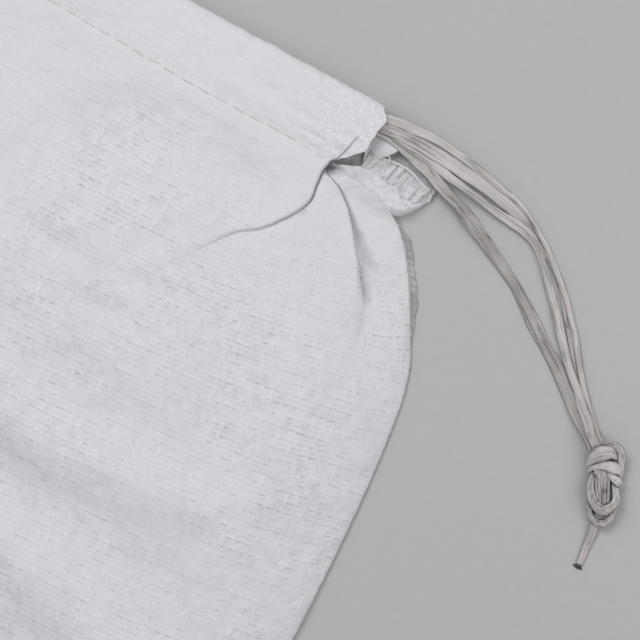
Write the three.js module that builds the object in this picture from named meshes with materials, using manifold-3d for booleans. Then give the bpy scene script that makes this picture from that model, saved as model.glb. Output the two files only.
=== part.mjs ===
// An empty woven drawstring sandbag that lies flat on the floor.
// Millimetres, +Z up. X runs across the bag, +Y points out of its mouth.

import * as THREE from 'three';
import { mergeVertices } from 'three/addons/utils/BufferGeometryUtils.js';
import Module from 'manifold-3d';

const wasm = await Module();
wasm.setup();

// Driving dimensions of the bag

const BAG_WIDTH = 400;
const BAG_LENGTH = 600;
const HALF_WIDTH = BAG_WIDTH / 2;
const MOUTH_Y = BAG_LENGTH / 2;
const BOTTOM_Y = -BAG_LENGTH / 2;
const HEM_DEPTH = 33;
const HEM_SEAM_Y = MOUTH_Y - HEM_DEPTH;
const BOTTOM_SEAM_Y = BOTTOM_Y + 14;
const BOTTOM_FOLD_DEPTH = 28;

// Thicknesses of the cloth shell, which stands in for 0.2 mm cloth

const WALL = 1.8;
const FLOOR = 2.2;
const HEM_THICKNESS = 6;
const EDGE_THICKNESS = 3;
const BOTTOM_THICKNESS = 3.4;

// Heights of the front panel above the floor

const LOFT_HEIGHT = 30;
const MOUTH_HEIGHT = 18;
const HEM_END_HEIGHT = 16;
const LEFT_LOFT_REACH = 95;
const RIGHT_LOFT_REACH = 80;
const BOTTOM_LOFT_REACH = 150;
const MOUTH_DROP_START_Y = 110;
const SIDE_POWER = 0.85;
const BOTTOM_POWER = 0.9;
const HEM_END_RISE = [246, 262];

// The right edge of the bag: the straight side fold, the gathered corner,
// the notch where the drawstring pulls the cloth in, and the end of the front hem

const GATHER = [103, 261];
const RIGHT_EDGE = [
  [200, BOTTOM_Y], [200, 20], [199, 76], [196.5, 126], [191.5, 172], [187, 189],
  [180.5, 203], [171.5, 220], [159, 239], [149, 250], [141.5, 254], [132.5, 257],
  [124, 259], [112.5, 261], [103.8, 262.5], [105.8, 264.5], [110.5, 269], [115.7, 275],
  [116.9, 283], [118.4, 293], [114, MOUTH_Y],
];

// Creases that run out of the gathered corner

const LONG_CREASE = [GATHER, [103.7, 240], [96.8, 227], [79, 208], [61, 184.5], [46.5, 168]];
const VALLEY = [[104, 258], [120.5, 247], [135, 230], [148, 211], [156, 188]];
const CREASE_LIMIT_Y = [250, 263];
const LONG_CREASE_UP = { height: 4.5, reach: 24 };
const LONG_CREASE_DOWN = { height: 2.2, reach: 14 };
const VALLEY_SHAPE = { depth: 5, reach: 9 };
const CREASE_FADE = [0.5, 1];

// Broad soft folds across the front panel. Crests are [y, x] points, from left to right

const FOLDS = [
  {
    crest: [[84, -80], [81, -30], [76, 24], [69, 62], [73, 109], [89, 148], [96, 185]],
    height: 7,
    reach: 17,
    rebound: 0.45,
  },
  {
    crest: [[36, -80], [30, -20], [20, 30], [11, 62], [0, 98], [-8, 140], [-8, 185]],
    height: 7.2,
    reach: 18,
    rebound: 0.45,
  },
  {
    crest: [[-74, -120], [-66, -40], [-58, 40], [-44, 120], [-34, 180]],
    height: 5,
    reach: 19,
    rebound: 0.45,
  },
  {
    crest: [[150, -90], [165, -60], [203, -25], [231, 10], [237, 45], [229, 80], [224, 110]],
    height: -2.6,
    reach: 17,
    rebound: 0,
  },
];
const FOLD_END_LENGTH = 50;
// Towards the right the folds grow wider and lower
const FOLDS_SOFTEN_X = [70, 160];
const FOLDS_WIDENING = 0.5;
const FOLDS_LOWERING = 0.25;
const REBOUND_REACH = 2.2;

// Grid rows from the bottom to the mouth, and columns as shares of the width

const ROWS = [
  BOTTOM_Y, BOTTOM_SEAM_Y, BOTTOM_Y + BOTTOM_FOLD_DEPTH, -262, -245, -220, -190, -155,
  -115, -92, -74, -58, -40, -20, 0, 20, 40, 58, 75, 92, 110, 126, 142, 158, 173, 187, 198,
  208, 218, 228, 237, 245, 250, 254,
  257, 259, 261, 262.5, 264.5, HEM_SEAM_Y, 269, 275, 283, 293, MOUTH_Y,
];
const COLUMN_COUNT = 26;
const COLUMN_POWER = 1.35;
const SEAM_ROW = ROWS.indexOf(HEM_SEAM_Y);
const BOTTOM_SEAM_ROW = ROWS.indexOf(BOTTOM_SEAM_Y);
const FIRST_HOLLOW_ROW = 4;

// Rear hem end that curls up at the corner: lower edge, upper edge, height of its top

const FLAP_STATIONS = [
  { low: [98, 256], high: [98, 292], top: 4.5 },
  { low: [112, 260], high: [112, 290], top: 5 },
  { low: [124, 258], high: [124, 287], top: 6.5 },
  { low: [134, 256], high: [134, 289.5], top: 8 },
  { low: [142, 254.5], high: [143, 287.5], top: 8.6 },
  { low: [149, 258], high: [150, 281], top: 8.2 },
  { low: [154, 265], high: [155, 273], top: 7 },
];
const FLAP_THICKNESS = 5;
const FLAP_ACROSS = 6;
const FLAP_ROUNDING = 2.2;

// Rear panel where it shows beyond the gathered side

const REAR_SLIVER = [
  [140, 248], [151.5, 249], [158, 245], [167.5, 232.5], [176, 220], [181, 208],
  [184, 196], [170, 196], [150, 232],
];

// Drawstring tunnels: a flat pocket at each hem end

const TUNNEL_HEIGHT = 3.2;
const FRONT_TUNNEL = { centre: [108, 286.5, 12.45], size: [46, 20, TUNNEL_HEIGHT], turn: 0 };
const REAR_TUNNEL = { centre: [148, 279, 5.9], size: [26, 13, 2.4], turn: 0.7 };
const SIDE_SLIT = { centre: [106, 286, 6.1], size: [42, 35, 7.8] };

// Sewing thread

const THREAD_DIAMETER = 1;
const THREAD_RELIEF = 0.25;
const SEAT_GAP = 0.3;

// Drawstring tapes, flat, with routes from the hem end to the knot

const TAPE_THICKNESS = 0.9;
const KNOT_TOP = [290.5, 200.5];
const KNOT_DIRECTION = [0.474, -0.8805];
const KNOT_LENGTH = 40;
const KNOT_CENTRE_HEIGHT = 6.2;
const KNOT_FLATNESS = 0.62;

const TAPES = {
  a: {
    width: 3.4,
    steps: 44,
    route: [
      [108, 292.2, 13.1], [118.2, 294.4, 13.1], [129.7, 295.9, 12.8], [138.8, 296.7, 12.2],
      [146.9, 296.7, 11.4], [155, 295.9, 10.4], [163.1, 295, 9.4], [170.6, 293.8, 8.4],
      [177.5, 292.5, 7.5], [185.1, 290.9, 6.5], [191.8, 289.7, 5.5], [197.9, 287.9, 4.7],
      [204, 285, 3.9], [210.3, 281.2, 3.2], [217.4, 276.9, 2.5], [224.8, 270.9, 2.2],
      [233.2, 263.7, 2.1], [241.4, 256, 2.1], [252.2, 243.9, 2.1], [261.5, 231.7, 2.2],
      [266.9, 224.6, 2.4], [272.8, 217.7, 2.9], [278.7, 211.3, 3.7], [285.3, 206, 4.5],
      [289.7, 203, 4.8], [290.9, 200.7, 4.8],
    ],
  },
  b: {
    width: 5.8,
    steps: 44,
    route: [
      [108, 287, 13.1], [120.6, 289.8, 12.9], [129.6, 290.7, 12.5], [139.1, 290.8, 12.1],
      [147.8, 290.5, 11.5], [156.1, 290, 10.4], [165.1, 289.2, 8.7], [173.6, 288.4, 6.9],
      [183.1, 287, 5.2], [192.4, 284.9, 3.7], [201.5, 282.4, 2.4], [208.5, 280, 1.6],
      [217.7, 275.2, 1], [225.5, 269.8, 0.8], [233, 263.5, 0.8], [240.4, 255.8, 0.8],
      [249.3, 244.9, 0.8], [256.1, 236.5, 0.8], [261.2, 230.5, 0.8], [266, 224.5, 0.9],
      [272.4, 217.5, 1.3], [278.4, 211.1, 2.2], [284.7, 205.6, 3.1], [288.9, 202.6, 3.4],
      [290.1, 200.3, 3.4],
    ],
  },
  c: {
    width: 4.4,
    steps: 44,
    route: [
      [108, 289.6, 11.8], [117.5, 290.4, 11.7], [123, 289.6, 11.5], [131, 288.2, 11.2],
      [141.3, 287.1, 10.8], [151.8, 285.3, 10.1], [159.8, 283.6, 9.1], [166.9, 282.6, 7.9],
      [177.2, 281.2, 6.3], [187.4, 279.4, 4.9], [197.5, 278.5, 3.9], [206, 277.4, 3.3],
      [212.8, 274.9, 2.8], [220.9, 267.9, 2.3], [228.6, 259.9, 2.1], [237.9, 250.1, 2.1],
      [245.9, 240.6, 2.2], [252.8, 233, 2.4], [259.5, 226.1, 3], [266.2, 220.2, 4],
      [273.2, 213.5, 5], [279.2, 208.3, 6.2], [285, 204.4, 7.2], [288.3, 202.2, 7.4],
      [289.5, 200, 7.4],
    ],
  },
  d: {
    width: 6.2,
    steps: 44,
    route: [
      [108, 283.6, 11.8], [117.5, 284.6, 11.7], [123, 285.6, 10.3], [131.5, 286, 9.8],
      [141.4, 283.6, 9.5], [151, 280.6, 8.9], [156.1, 278.2, 8.6], [161.9, 276, 8],
      [168.9, 273.9, 7], [177.7, 269.8, 5.3], [187.4, 265, 3.6], [198.1, 259.8, 2.1],
      [207.9, 254.6, 1.3], [221.3, 246.4, 0.8], [231.6, 238.9, 0.8], [243.6, 230.6, 0.8],
      [253, 224.4, 0.8], [262.1, 217.1, 1], [272, 208.6, 2.6], [280.4, 203.4, 4.9],
      [286.6, 201.5, 6], [287.9, 199.1, 6],
    ],
  },
};
const TAIL = {
  width: 4,
  steps: 16,
  route: [
    [306.5, 162.6, 3.6], [306.8, 160.6, 3.1], [307, 156.9, 1.9], [307.5, 152.9, 1.1],
    [308, 148.6, 0.8], [308.3, 144.9, 0.8], [308.5, 142.5, 0.8],
  ],
};

// Small helpers

const clamp01 = (t) => Math.min(1, Math.max(0, t));
const smooth = (from, to, t) => {
  const s = clamp01((t - from) / (to - from));
  return s * s * (3 - 2 * s);
};
const mix = (a, b, t) => a + (b - a) * t;
const quarterWave = (t) => Math.sin(t * Math.PI / 2);

// Value at a place between [value, place] points

function valueAt(points, place) {
  for (let i = 1; i < points.length; i += 1) {
    const [value0, place0] = points[i - 1];
    const [value1, place1] = points[i];
    if (place <= place1) {
      return mix(value0, value1, clamp01((place - place0) / (place1 - place0)));
    }
  }
  return points.at(-1)[0];
}

// Nearest point of a polyline: signed distance (positive on its right) and share of its length

function alongPolyline(line, x, y) {
  let best = { distance: Infinity, side: 1, share: 0 };
  for (let i = 1; i < line.length; i += 1) {
    const [x0, y0] = line[i - 1];
    const [dx, dy] = [line[i][0] - x0, line[i][1] - y0];
    const t = clamp01(((x - x0) * dx + (y - y0) * dy) / (dx * dx + dy * dy));
    const [ex, ey] = [x - x0 - t * dx, y - y0 - t * dy];
    const distance = Math.hypot(ex, ey);
    if (distance < best.distance) {
      const side = Math.sign(ex * dy - ey * dx) || 1;
      best = { distance, side, share: (i - 1 + t) / (line.length - 1) };
    }
  }
  return best;
}

function foldRelief(x, y) {
  let relief = 0;
  for (const { crest, height, reach, rebound } of FOLDS) {
    const softened = smooth(FOLDS_SOFTEN_X[0], FOLDS_SOFTEN_X[1], x);
    const away = (y - valueAt(crest, x)) / (reach * (1 + FOLDS_WIDENING * softened));
    const start = crest[0][1];
    const stop = crest.at(-1)[1];
    const ends = smooth(start, start + FOLD_END_LENGTH, x) * smooth(stop, stop - FOLD_END_LENGTH, x);
    const shape = Math.exp(-(away ** 2)) - rebound * Math.exp(-((away / REBOUND_REACH) ** 2));
    relief += height * (1 - FOLDS_LOWERING * softened) * shape * ends;
  }
  return relief;
}

// Height of the front panel above the floor

function frontHeight(x, y) {
  const fromBottom = clamp01((y - BOTTOM_Y - BOTTOM_FOLD_DEPTH) / BOTTOM_LOFT_REACH);
  const bottomRise = quarterWave(fromBottom) ** BOTTOM_POWER;
  const mouthDrop = (LOFT_HEIGHT - MOUTH_HEIGHT) * smooth(MOUTH_DROP_START_Y, HEM_SEAM_Y, y);
  const middle = mix(BOTTOM_THICKNESS, LOFT_HEIGHT, bottomRise) - mouthDrop;

  const leftShare = clamp01((x + HALF_WIDTH) / LEFT_LOFT_REACH);
  const rightShare = clamp01((valueAt(RIGHT_EDGE, y) - x) / RIGHT_LOFT_REACH);
  const rightEdge = mix(EDGE_THICKNESS, HEM_END_HEIGHT, smooth(...HEM_END_RISE, y));
  const leftHeight = mix(EDGE_THICKNESS, middle, quarterWave(leftShare) ** SIDE_POWER);
  const rightHeight = mix(rightEdge, middle, quarterWave(rightShare) ** SIDE_POWER);

  const belowHem = 1 - smooth(...CREASE_LIMIT_Y, y);
  const crease = alongPolyline(LONG_CREASE, x, y);
  const valley = alongPolyline(VALLEY, x, y);
  const creaseRelief = crease.side > 0
    ? LONG_CREASE_UP.height * Math.exp(-crease.distance / LONG_CREASE_UP.reach)
    : -LONG_CREASE_DOWN.height * Math.exp(-crease.distance / LONG_CREASE_DOWN.reach);
  const valleyRelief = -VALLEY_SHAPE.depth * Math.exp(-((valley.distance / VALLEY_SHAPE.reach) ** 2));
  const relief = belowHem * (creaseRelief * (1 - smooth(...CREASE_FADE, crease.share))
    + valleyRelief * (1 - smooth(...CREASE_FADE, valley.share)));
  return Math.max(Math.min(leftHeight, rightHeight) + relief + foldRelief(x, y), EDGE_THICKNESS);
}

// Position of a grid point of the front panel

function gridPoint(column, row) {
  const y = ROWS[row];
  const share = 1 - (1 - column / COLUMN_COUNT) ** COLUMN_POWER;
  const x = mix(-HALF_WIDTH, valueAt(RIGHT_EDGE, y), share);
  return new THREE.Vector3(x, y, frontHeight(x, y));
}

// Closed solid between two grids of points that share their plan outline

function gridSolid(columns, rows, topPoint, bottomPoint) {
  const positions = [];
  const indices = [];
  const perSheet = (columns + 1) * (rows + 1);
  const index = (sheet, i, j) => sheet * perSheet + j * (columns + 1) + i;
  for (const point of [topPoint, bottomPoint]) {
    for (let j = 0; j <= rows; j += 1) {
      for (let i = 0; i <= columns; i += 1) {
        positions.push(...point(i, j));
      }
    }
  }
  const quad = (a, b, c, d) => indices.push(a, b, c, a, c, d);
  for (let j = 0; j < rows; j += 1) {
    for (let i = 0; i < columns; i += 1) {
      quad(index(0, i, j), index(0, i + 1, j), index(0, i + 1, j + 1), index(0, i, j + 1));
      quad(index(1, i, j), index(1, i, j + 1), index(1, i + 1, j + 1), index(1, i + 1, j));
    }
  }
  for (let i = 0; i < columns; i += 1) {
    quad(index(1, i, 0), index(1, i + 1, 0), index(0, i + 1, 0), index(0, i, 0));
    quad(index(0, i, rows), index(0, i + 1, rows), index(1, i + 1, rows), index(1, i, rows));
  }
  for (let j = 0; j < rows; j += 1) {
    quad(index(0, 0, j), index(0, 0, j + 1), index(1, 0, j + 1), index(1, 0, j));
    quad(index(1, columns, j), index(1, columns, j + 1),
      index(0, columns, j + 1), index(0, columns, j));
  }
  const geometry = new THREE.BufferGeometry();
  geometry.setAttribute('position', new THREE.Float32BufferAttribute(positions, 3));
  geometry.setIndex(indices);
  return geometry;
}

// Closed solid between a grid of points and a flat floor under it

function heightSolid(columns, rows, topPoint, floor) {
  const positions = [];
  const indices = [];
  const top = (i, j) => j * (columns + 1) + i;
  for (let j = 0; j <= rows; j += 1) {
    for (let i = 0; i <= columns; i += 1) {
      positions.push(...topPoint(i, j));
    }
  }
  const floorIndices = new Map();
  const below = (i, j) => {
    const key = top(i, j);
    if (!floorIndices.has(key)) {
      const [x, y] = topPoint(i, j);
      floorIndices.set(key, positions.length / 3);
      positions.push(x, y, floor);
    }
    return floorIndices.get(key);
  };
  const triangle = (a, b, c) => indices.push(a, b, c);
  const quad = (a, b, c, d) => indices.push(a, b, c, a, c, d);
  for (let j = 0; j < rows; j += 1) {
    for (let i = 0; i < columns; i += 1) {
      quad(top(i, j), top(i + 1, j), top(i + 1, j + 1), top(i, j + 1));
    }
    quad(top(0, j), top(0, j + 1), below(0, j + 1), below(0, j));
    quad(below(columns, j), below(columns, j + 1), top(columns, j + 1), top(columns, j));
  }
  for (let i = 0; i < columns; i += 1) {
    quad(below(i, 0), below(i + 1, 0), top(i + 1, 0), top(i, 0));
    quad(top(i, rows), top(i + 1, rows), below(i + 1, rows), below(i, rows));
    triangle(below(i, 0), below(0, 1), below(i + 1, 0));
    triangle(below(0, rows - 1), below(i, rows), below(i + 1, rows));
  }
  triangle(below(columns, 0), below(0, 1), below(columns, 1));
  triangle(below(0, rows - 1), below(columns, rows), below(columns, rows - 1));
  for (let j = 1; j < rows - 1; j += 1) {
    quad(below(0, j), below(0, j + 1), below(columns, j + 1), below(columns, j));
  }
  const geometry = new THREE.BufferGeometry();
  geometry.setAttribute('position', new THREE.Float32BufferAttribute(positions, 3));
  geometry.setIndex(indices);
  return geometry;
}

// Conversions between three.js geometry and manifold solids

function toSolid(geometry) {
  const bare = geometry.clone();
  bare.deleteAttribute('normal');
  bare.deleteAttribute('uv');
  const merged = mergeVertices(bare, 1e-4);
  return new wasm.Manifold(new wasm.Mesh({
    numProp: 3,
    vertProperties: new Float32Array(merged.attributes.position.array),
    triVerts: new Uint32Array(merged.index.array),
  }));
}

function toGeometry(solid) {
  const mesh = solid.getMesh();
  const geometry = new THREE.BufferGeometry();
  geometry.setAttribute('position', new THREE.BufferAttribute(mesh.vertProperties, 3));
  geometry.setIndex(new THREE.BufferAttribute(mesh.triVerts, 1));
  geometry.computeVertexNormals();
  return geometry;
}

function boxSolid({ centre, size, turn = 0 }) {
  const geometry = new THREE.BoxGeometry(...size);
  geometry.rotateZ(turn);
  geometry.translate(...centre);
  return toSolid(geometry);
}

// The bag

function bagOuter() {
  const top = (i, j) => gridPoint(i, j).toArray();
  return toSolid(heightSolid(COLUMN_COUNT, ROWS.length - 1, top, 0));
}

function bagHollow() {
  const mouthOverrun = 2;
  const top = (i, j) => {
    const row = j + FIRST_HOLLOW_ROW;
    const { x, y, z } = gridPoint(i + 1, row);
    const ceiling = z - (row >= SEAM_ROW - 1 ? HEM_THICKNESS : WALL);
    const overrun = row === ROWS.length - 1 ? mouthOverrun : 0;
    return [x, y + overrun, Math.max(ceiling, FLOOR + 0.3)];
  };
  return toSolid(heightSolid(COLUMN_COUNT - 3, ROWS.length - 1 - FIRST_HOLLOW_ROW, top, FLOOR));
}

function rearFlap() {
  const last = FLAP_STATIONS.length - 1;
  const place = (i, j) => {
    const { low, high, top } = FLAP_STATIONS[j];
    const share = i / FLAP_ACROSS;
    const rounding = FLAP_ROUNDING * (2 * share - 1) ** 4;
    const x = mix(high[0], low[0], share);
    const y = mix(high[1], low[1], share);
    return [x, y, top - rounding, Math.max(0, top + rounding - FLAP_THICKNESS)];
  };
  const topPoint = (i, j) => {
    const [x, y, z] = place(i, j);
    return [x, y, z];
  };
  const bottomPoint = (i, j) => {
    const [x, y, , z] = place(i, j);
    return [x, y, z];
  };
  return toSolid(gridSolid(FLAP_ACROSS, last, topPoint, bottomPoint));
}

function rearSliver() {
  const outline = new THREE.Shape(REAR_SLIVER.map(([x, y]) => new THREE.Vector2(x, y)));
  const geometry = new THREE.ExtrudeGeometry(outline, { depth: WALL, bevelEnabled: false });
  return toSolid(geometry);
}

function bagGeometry() {
  const shell = bagOuter().subtract(bagHollow()).subtract(boxSolid(SIDE_SLIT));
  const whole = shell.add(rearFlap()).add(rearSliver());
  return toGeometry(whole.subtract(boxSolid(FRONT_TUNNEL)).subtract(boxSolid(REAR_TUNNEL)));
}

// Sections swept along a route whose frames stay level

class LevelCurve extends THREE.CatmullRomCurve3 {
  computeFrenetFrames(segments) {
    const tangents = [];
    const normals = [];
    const binormals = [];
    for (let i = 0; i <= segments; i += 1) {
      const tangent = this.getTangentAt(i / segments);
      const across = new THREE.Vector3(0, 0, 1).cross(tangent).normalize();
      tangents.push(tangent);
      normals.push(across);
      binormals.push(new THREE.Vector3().crossVectors(tangent, across));
    }
    return { tangents, normals, binormals };
  }
}

function sweep(points, steps, width, thickness) {
  const sides = 8;
  const section = new THREE.Shape();
  for (let k = 0; k < sides; k += 1) {
    const angle = (k + 0.5) * 2 * Math.PI / sides;
    const x = Math.sign(Math.cos(angle)) * Math.abs(Math.cos(angle)) ** 0.5 * width / 2;
    const y = Math.sin(angle) * thickness / 2 / Math.sin(1.5 * 2 * Math.PI / sides);
    if (k === 0) {
      section.moveTo(x, y);
    } else {
      section.lineTo(x, y);
    }
  }
  section.closePath();
  const curve = new LevelCurve(points.map((p) => new THREE.Vector3(...p)));
  return new THREE.ExtrudeGeometry(section, {
    steps,
    extrudePath: curve,
    bevelEnabled: false,
  });
}

// Sewing thread along one grid row of the front panel

function threadOnRow(row, firstColumn, lastColumn) {
  const lift = SEAT_GAP + THREAD_RELIEF + THREAD_DIAMETER / 2;
  const points = [];
  for (let i = firstColumn; i <= lastColumn; i += 1) {
    const point = gridPoint(i, row);
    points.push([point.x, point.y, point.z + lift]);
  }
  return sweep(points, Math.round(1.5 * points.length), THREAD_DIAMETER, THREAD_DIAMETER);
}

// Sewing thread on the inner face of the rear panel

function rearThread() {
  const lift = SEAT_GAP + THREAD_DIAMETER / 2;
  const points = [[-170, HEM_SEAM_Y, FLOOR + lift], [90, HEM_SEAM_Y, FLOOR + lift]];
  return sweep(points, 1, THREAD_DIAMETER, THREAD_DIAMETER);
}

// The knot: two bulges with a waist, flat at both ends, lying along its own axis

function knotGeometry() {
  const profile = [
    [0, 0], [6.6, 0], [8.8, 5], [9.4, 11], [8.2, 17], [7.8, 22],
    [8.4, 28], [8, 34], [6.4, KNOT_LENGTH], [0, KNOT_LENGTH],
  ];
  const points = profile.map(([radius, along]) => new THREE.Vector2(radius, along));
  const geometry = new THREE.LatheGeometry(points, 14);
  geometry.scale(1, 1, KNOT_FLATNESS);
  const [dx, dy] = KNOT_DIRECTION;
  geometry.rotateZ(Math.atan2(dy, dx) - Math.PI / 2);
  const start = SEAT_GAP;
  geometry.translate(
    KNOT_TOP[0] + dx * start,
    KNOT_TOP[1] + dy * start,
    KNOT_CENTRE_HEIGHT,
  );
  return geometry;
}

// Materials

const cloth = new THREE.MeshStandardMaterial({ color: 0xd8d6dc, roughness: 0.62 });
const thread = new THREE.MeshStandardMaterial({ color: 0xe6e2d8, roughness: 0.7 });
const tape = new THREE.MeshStandardMaterial({ color: 0xbfbab2, roughness: 0.45 });

// Assembly

const sandbag = new THREE.Group();
sandbag.name = 'woven_sandbag';

function addPiece(name, geometry, material) {
  const mesh = new THREE.Mesh(geometry, material);
  mesh.name = name;
  sandbag.add(mesh);
}

addPiece('bag_cloth', bagGeometry(), cloth);
addPiece('hem_thread_front', threadOnRow(SEAM_ROW, 1, COLUMN_COUNT - 1), thread);
addPiece('hem_thread_rear', rearThread(), thread);
addPiece('bottom_thread', threadOnRow(BOTTOM_SEAM_ROW, 0, COLUMN_COUNT), thread);
for (const [letter, { width, steps, route }] of Object.entries(TAPES)) {
  const geometry = sweep(route, steps, width, TAPE_THICKNESS);
  addPiece(`drawstring_strand_${letter}`, geometry, tape);
}
addPiece('drawstring_knot', knotGeometry(), tape);
addPiece('drawstring_tail', sweep(TAIL.route, TAIL.steps, TAIL.width, TAPE_THICKNESS), tape);

export default sandbag;
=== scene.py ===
import math
from functools import partialmethod

import bpy
import numpy as np
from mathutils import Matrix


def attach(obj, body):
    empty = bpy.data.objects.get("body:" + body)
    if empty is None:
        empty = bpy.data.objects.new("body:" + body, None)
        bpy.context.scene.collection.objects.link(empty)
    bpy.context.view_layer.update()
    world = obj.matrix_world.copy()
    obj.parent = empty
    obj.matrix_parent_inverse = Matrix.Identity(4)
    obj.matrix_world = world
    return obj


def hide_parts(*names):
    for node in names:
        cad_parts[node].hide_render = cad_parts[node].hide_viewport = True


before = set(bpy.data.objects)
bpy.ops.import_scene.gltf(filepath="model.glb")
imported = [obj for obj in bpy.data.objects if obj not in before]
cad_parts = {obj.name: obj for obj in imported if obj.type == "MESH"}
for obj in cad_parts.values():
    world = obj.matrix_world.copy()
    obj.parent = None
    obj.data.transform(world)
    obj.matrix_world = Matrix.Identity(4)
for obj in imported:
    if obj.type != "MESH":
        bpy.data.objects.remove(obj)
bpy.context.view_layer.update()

MM = 0.001

# Camera: straight above the gathered corner, turned so that the mouth runs down to the right

CAMERA_PLACE = (0.1364, 0.190, 2.4)
CAMERA_TURN = math.radians(28.3)
VIEW_WIDTH = 0.320
VIEW_PLANE_HEIGHT = 0.014
SENSOR = 36.0

camera_data = bpy.data.cameras.new("camera")
camera_data.sensor_width = SENSOR
camera_data.lens = SENSOR * (CAMERA_PLACE[2] - VIEW_PLANE_HEIGHT) / VIEW_WIDTH
camera = bpy.data.objects.new("camera", camera_data)
camera.location = CAMERA_PLACE
camera.rotation_euler = (0, 0, CAMERA_TURN)
bpy.context.scene.collection.objects.link(camera)
bpy.context.scene.camera = camera

# Dimensions of the bag, in millimetres, as in the solids

HALF_WIDTH = 200.0
MOUTH_Y = 300.0
BOTTOM_Y = -300.0
SEAM_Y = 267.0
RAW_EDGE_Y = 258.0
BOTTOM_SEAM_Y = -286.0
BOTTOM_FOLD = 28.0
EDGE_THICKNESS = 3.0
BOTTOM_THICKNESS = 3.4
LOFT_HEIGHT = 30.0
MOUTH_HEIGHT = 18.0
HEM_END_HEIGHT = 16.0
LEFT_LOFT_REACH = 95.0
RIGHT_LOFT_REACH = 80.0
BOTTOM_LOFT_REACH = 150.0
MOUTH_DROP_START_Y = 110.0
SIDE_POWER = 0.85
BOTTOM_POWER = 0.9
TAPE_PITCH = 2.5
HEM_STITCH = 9.6
BOTTOM_STITCH = 7.5
STITCH_GAP = 0.16

# Small helpers

def clip01(t):
    return np.clip(t, 0.0, 1.0)


def smooth(start, stop, t):
    s = clip01((np.asarray(t, float) - start) / (stop - start))
    return s * s * (3 - 2 * s)


def window(start, full, fading, stop, t):
    """Rises from 0 to 1 between start and full, and falls again between fading and stop."""
    return smooth(start, full, t) * smooth(stop, fading, t)


def mix(a, b, t):
    return a + (b - a) * t


def hump(t, power=2.0):
    """1 in the middle, falling off to both sides."""
    return np.exp(-np.abs(t) ** power)


def spot(x, y, middle, half):
    """1 at a point, falling off around it."""
    return np.exp(-(((x - middle[0]) / half[0]) ** 2 + ((y - middle[1]) / half[1]) ** 2))


def cubic(start, stop, slope_start, slope_stop, step, u):
    """Curve piece between two values, with the slope at each."""
    return (
        start * (1 + 2 * u) * (1 - u) ** 2
        + slope_start * step * u * (1 - u) ** 2
        + stop * u * u * (3 - 2 * u)
        + slope_stop * step * u * u * (u - 1)
    )


def table(points, t):
    """Monotone cubic through (t, value) points."""
    ts, values = np.array(sorted(points), float).T
    steps = np.diff(ts)
    slopes = np.diff(values) / steps
    tangents = np.zeros_like(values)
    before, after = slopes[:-1], slopes[1:]
    same = before * after > 0
    tangents[1:-1][same] = 2 * before[same] * after[same] / (before[same] + after[same])
    t = np.clip(np.asarray(t, float), ts[0], ts[-1])
    k = np.clip(np.searchsorted(ts, t, side="right") - 1, 0, len(steps) - 1)
    return cubic(values[k], values[k + 1], tangents[k], tangents[k + 1], steps[k], (t - ts[k]) / steps[k])


# Cells after which the noise repeats, and the factor that spreads it to the range -1 to 1
NOISE_CELLS = 64
NOISE_GAIN = 1.6


def noise(x, y, size, seed):
    """Gradient noise with cells of the given size, from about -1 to 1."""
    angles = np.random.default_rng(seed).uniform(0, 2 * np.pi, (NOISE_CELLS, NOISE_CELLS))
    x, y = np.broadcast_arrays(np.asarray(x, float) / size, np.asarray(y, float) / size)
    i, j = np.floor(x).astype(int), np.floor(y).astype(int)
    u, v = x - i, y - j
    right, upper = smooth(0, 1, u), smooth(0, 1, v)
    total = 0.0
    for di in (0, 1):
        for dj in (0, 1):
            a = angles[(i + di) % NOISE_CELLS, (j + dj) % NOISE_CELLS]
            weight = (right if di else 1 - right) * (upper if dj else 1 - upper)
            total = total + weight * (np.cos(a) * (u - di) + np.sin(a) * (v - dj))
    return NOISE_GAIN * total


def ridged(x, y, size, seed):
    """Noise with sharp ridges, from -1 to 1."""
    return 1 - 2 * np.abs(noise(x, y, size, seed))


def run_along(points):
    """Length of a line from its first point to each of its points."""
    steps = np.linalg.norm(np.diff(points, axis=0), axis=-1)
    return np.concatenate([np.zeros((1,) + steps.shape[1:]), np.cumsum(steps, axis=0)])


def curve_through(points, count):
    """Smooth curve through points of any dimension, at evenly spaced lengths, and its length."""
    points = np.array(points, float)
    knots = run_along(points[:, :3])
    chords = np.diff(knots)
    fine = np.linspace(0, knots[-1], 12 * len(points))
    slopes = np.gradient(points, knots, axis=0)
    k = np.clip(np.searchsorted(knots, fine, side="right") - 1, 0, len(chords) - 1)
    step = chords[k][:, None]
    u = ((fine - knots[k]) / chords[k])[:, None]
    dense = cubic(points[k], points[k + 1], slopes[k], slopes[k + 1], step, u)
    lengths = run_along(dense[:, :3])
    even = np.linspace(0, lengths[-1], count)
    return np.stack([np.interp(even, lengths, column) for column in dense.T], axis=1), lengths[-1]


def unit(vectors):
    return vectors / np.maximum(np.linalg.norm(vectors, axis=-1, keepdims=True), 1e-9)


def as_seen(points):
    """Millimetre points of the view plane, moved to where the camera sees them at their own height."""
    axis, height = np.array(CAMERA_PLACE[:2]) / MM, CAMERA_PLACE[2] / MM
    share = (height - points[:, 2:3]) / (height - VIEW_PLANE_HEIGHT / MM)
    return np.column_stack([axis + (points[:, :2] - axis) * share, points[:, 2]])


# Meshes

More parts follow.
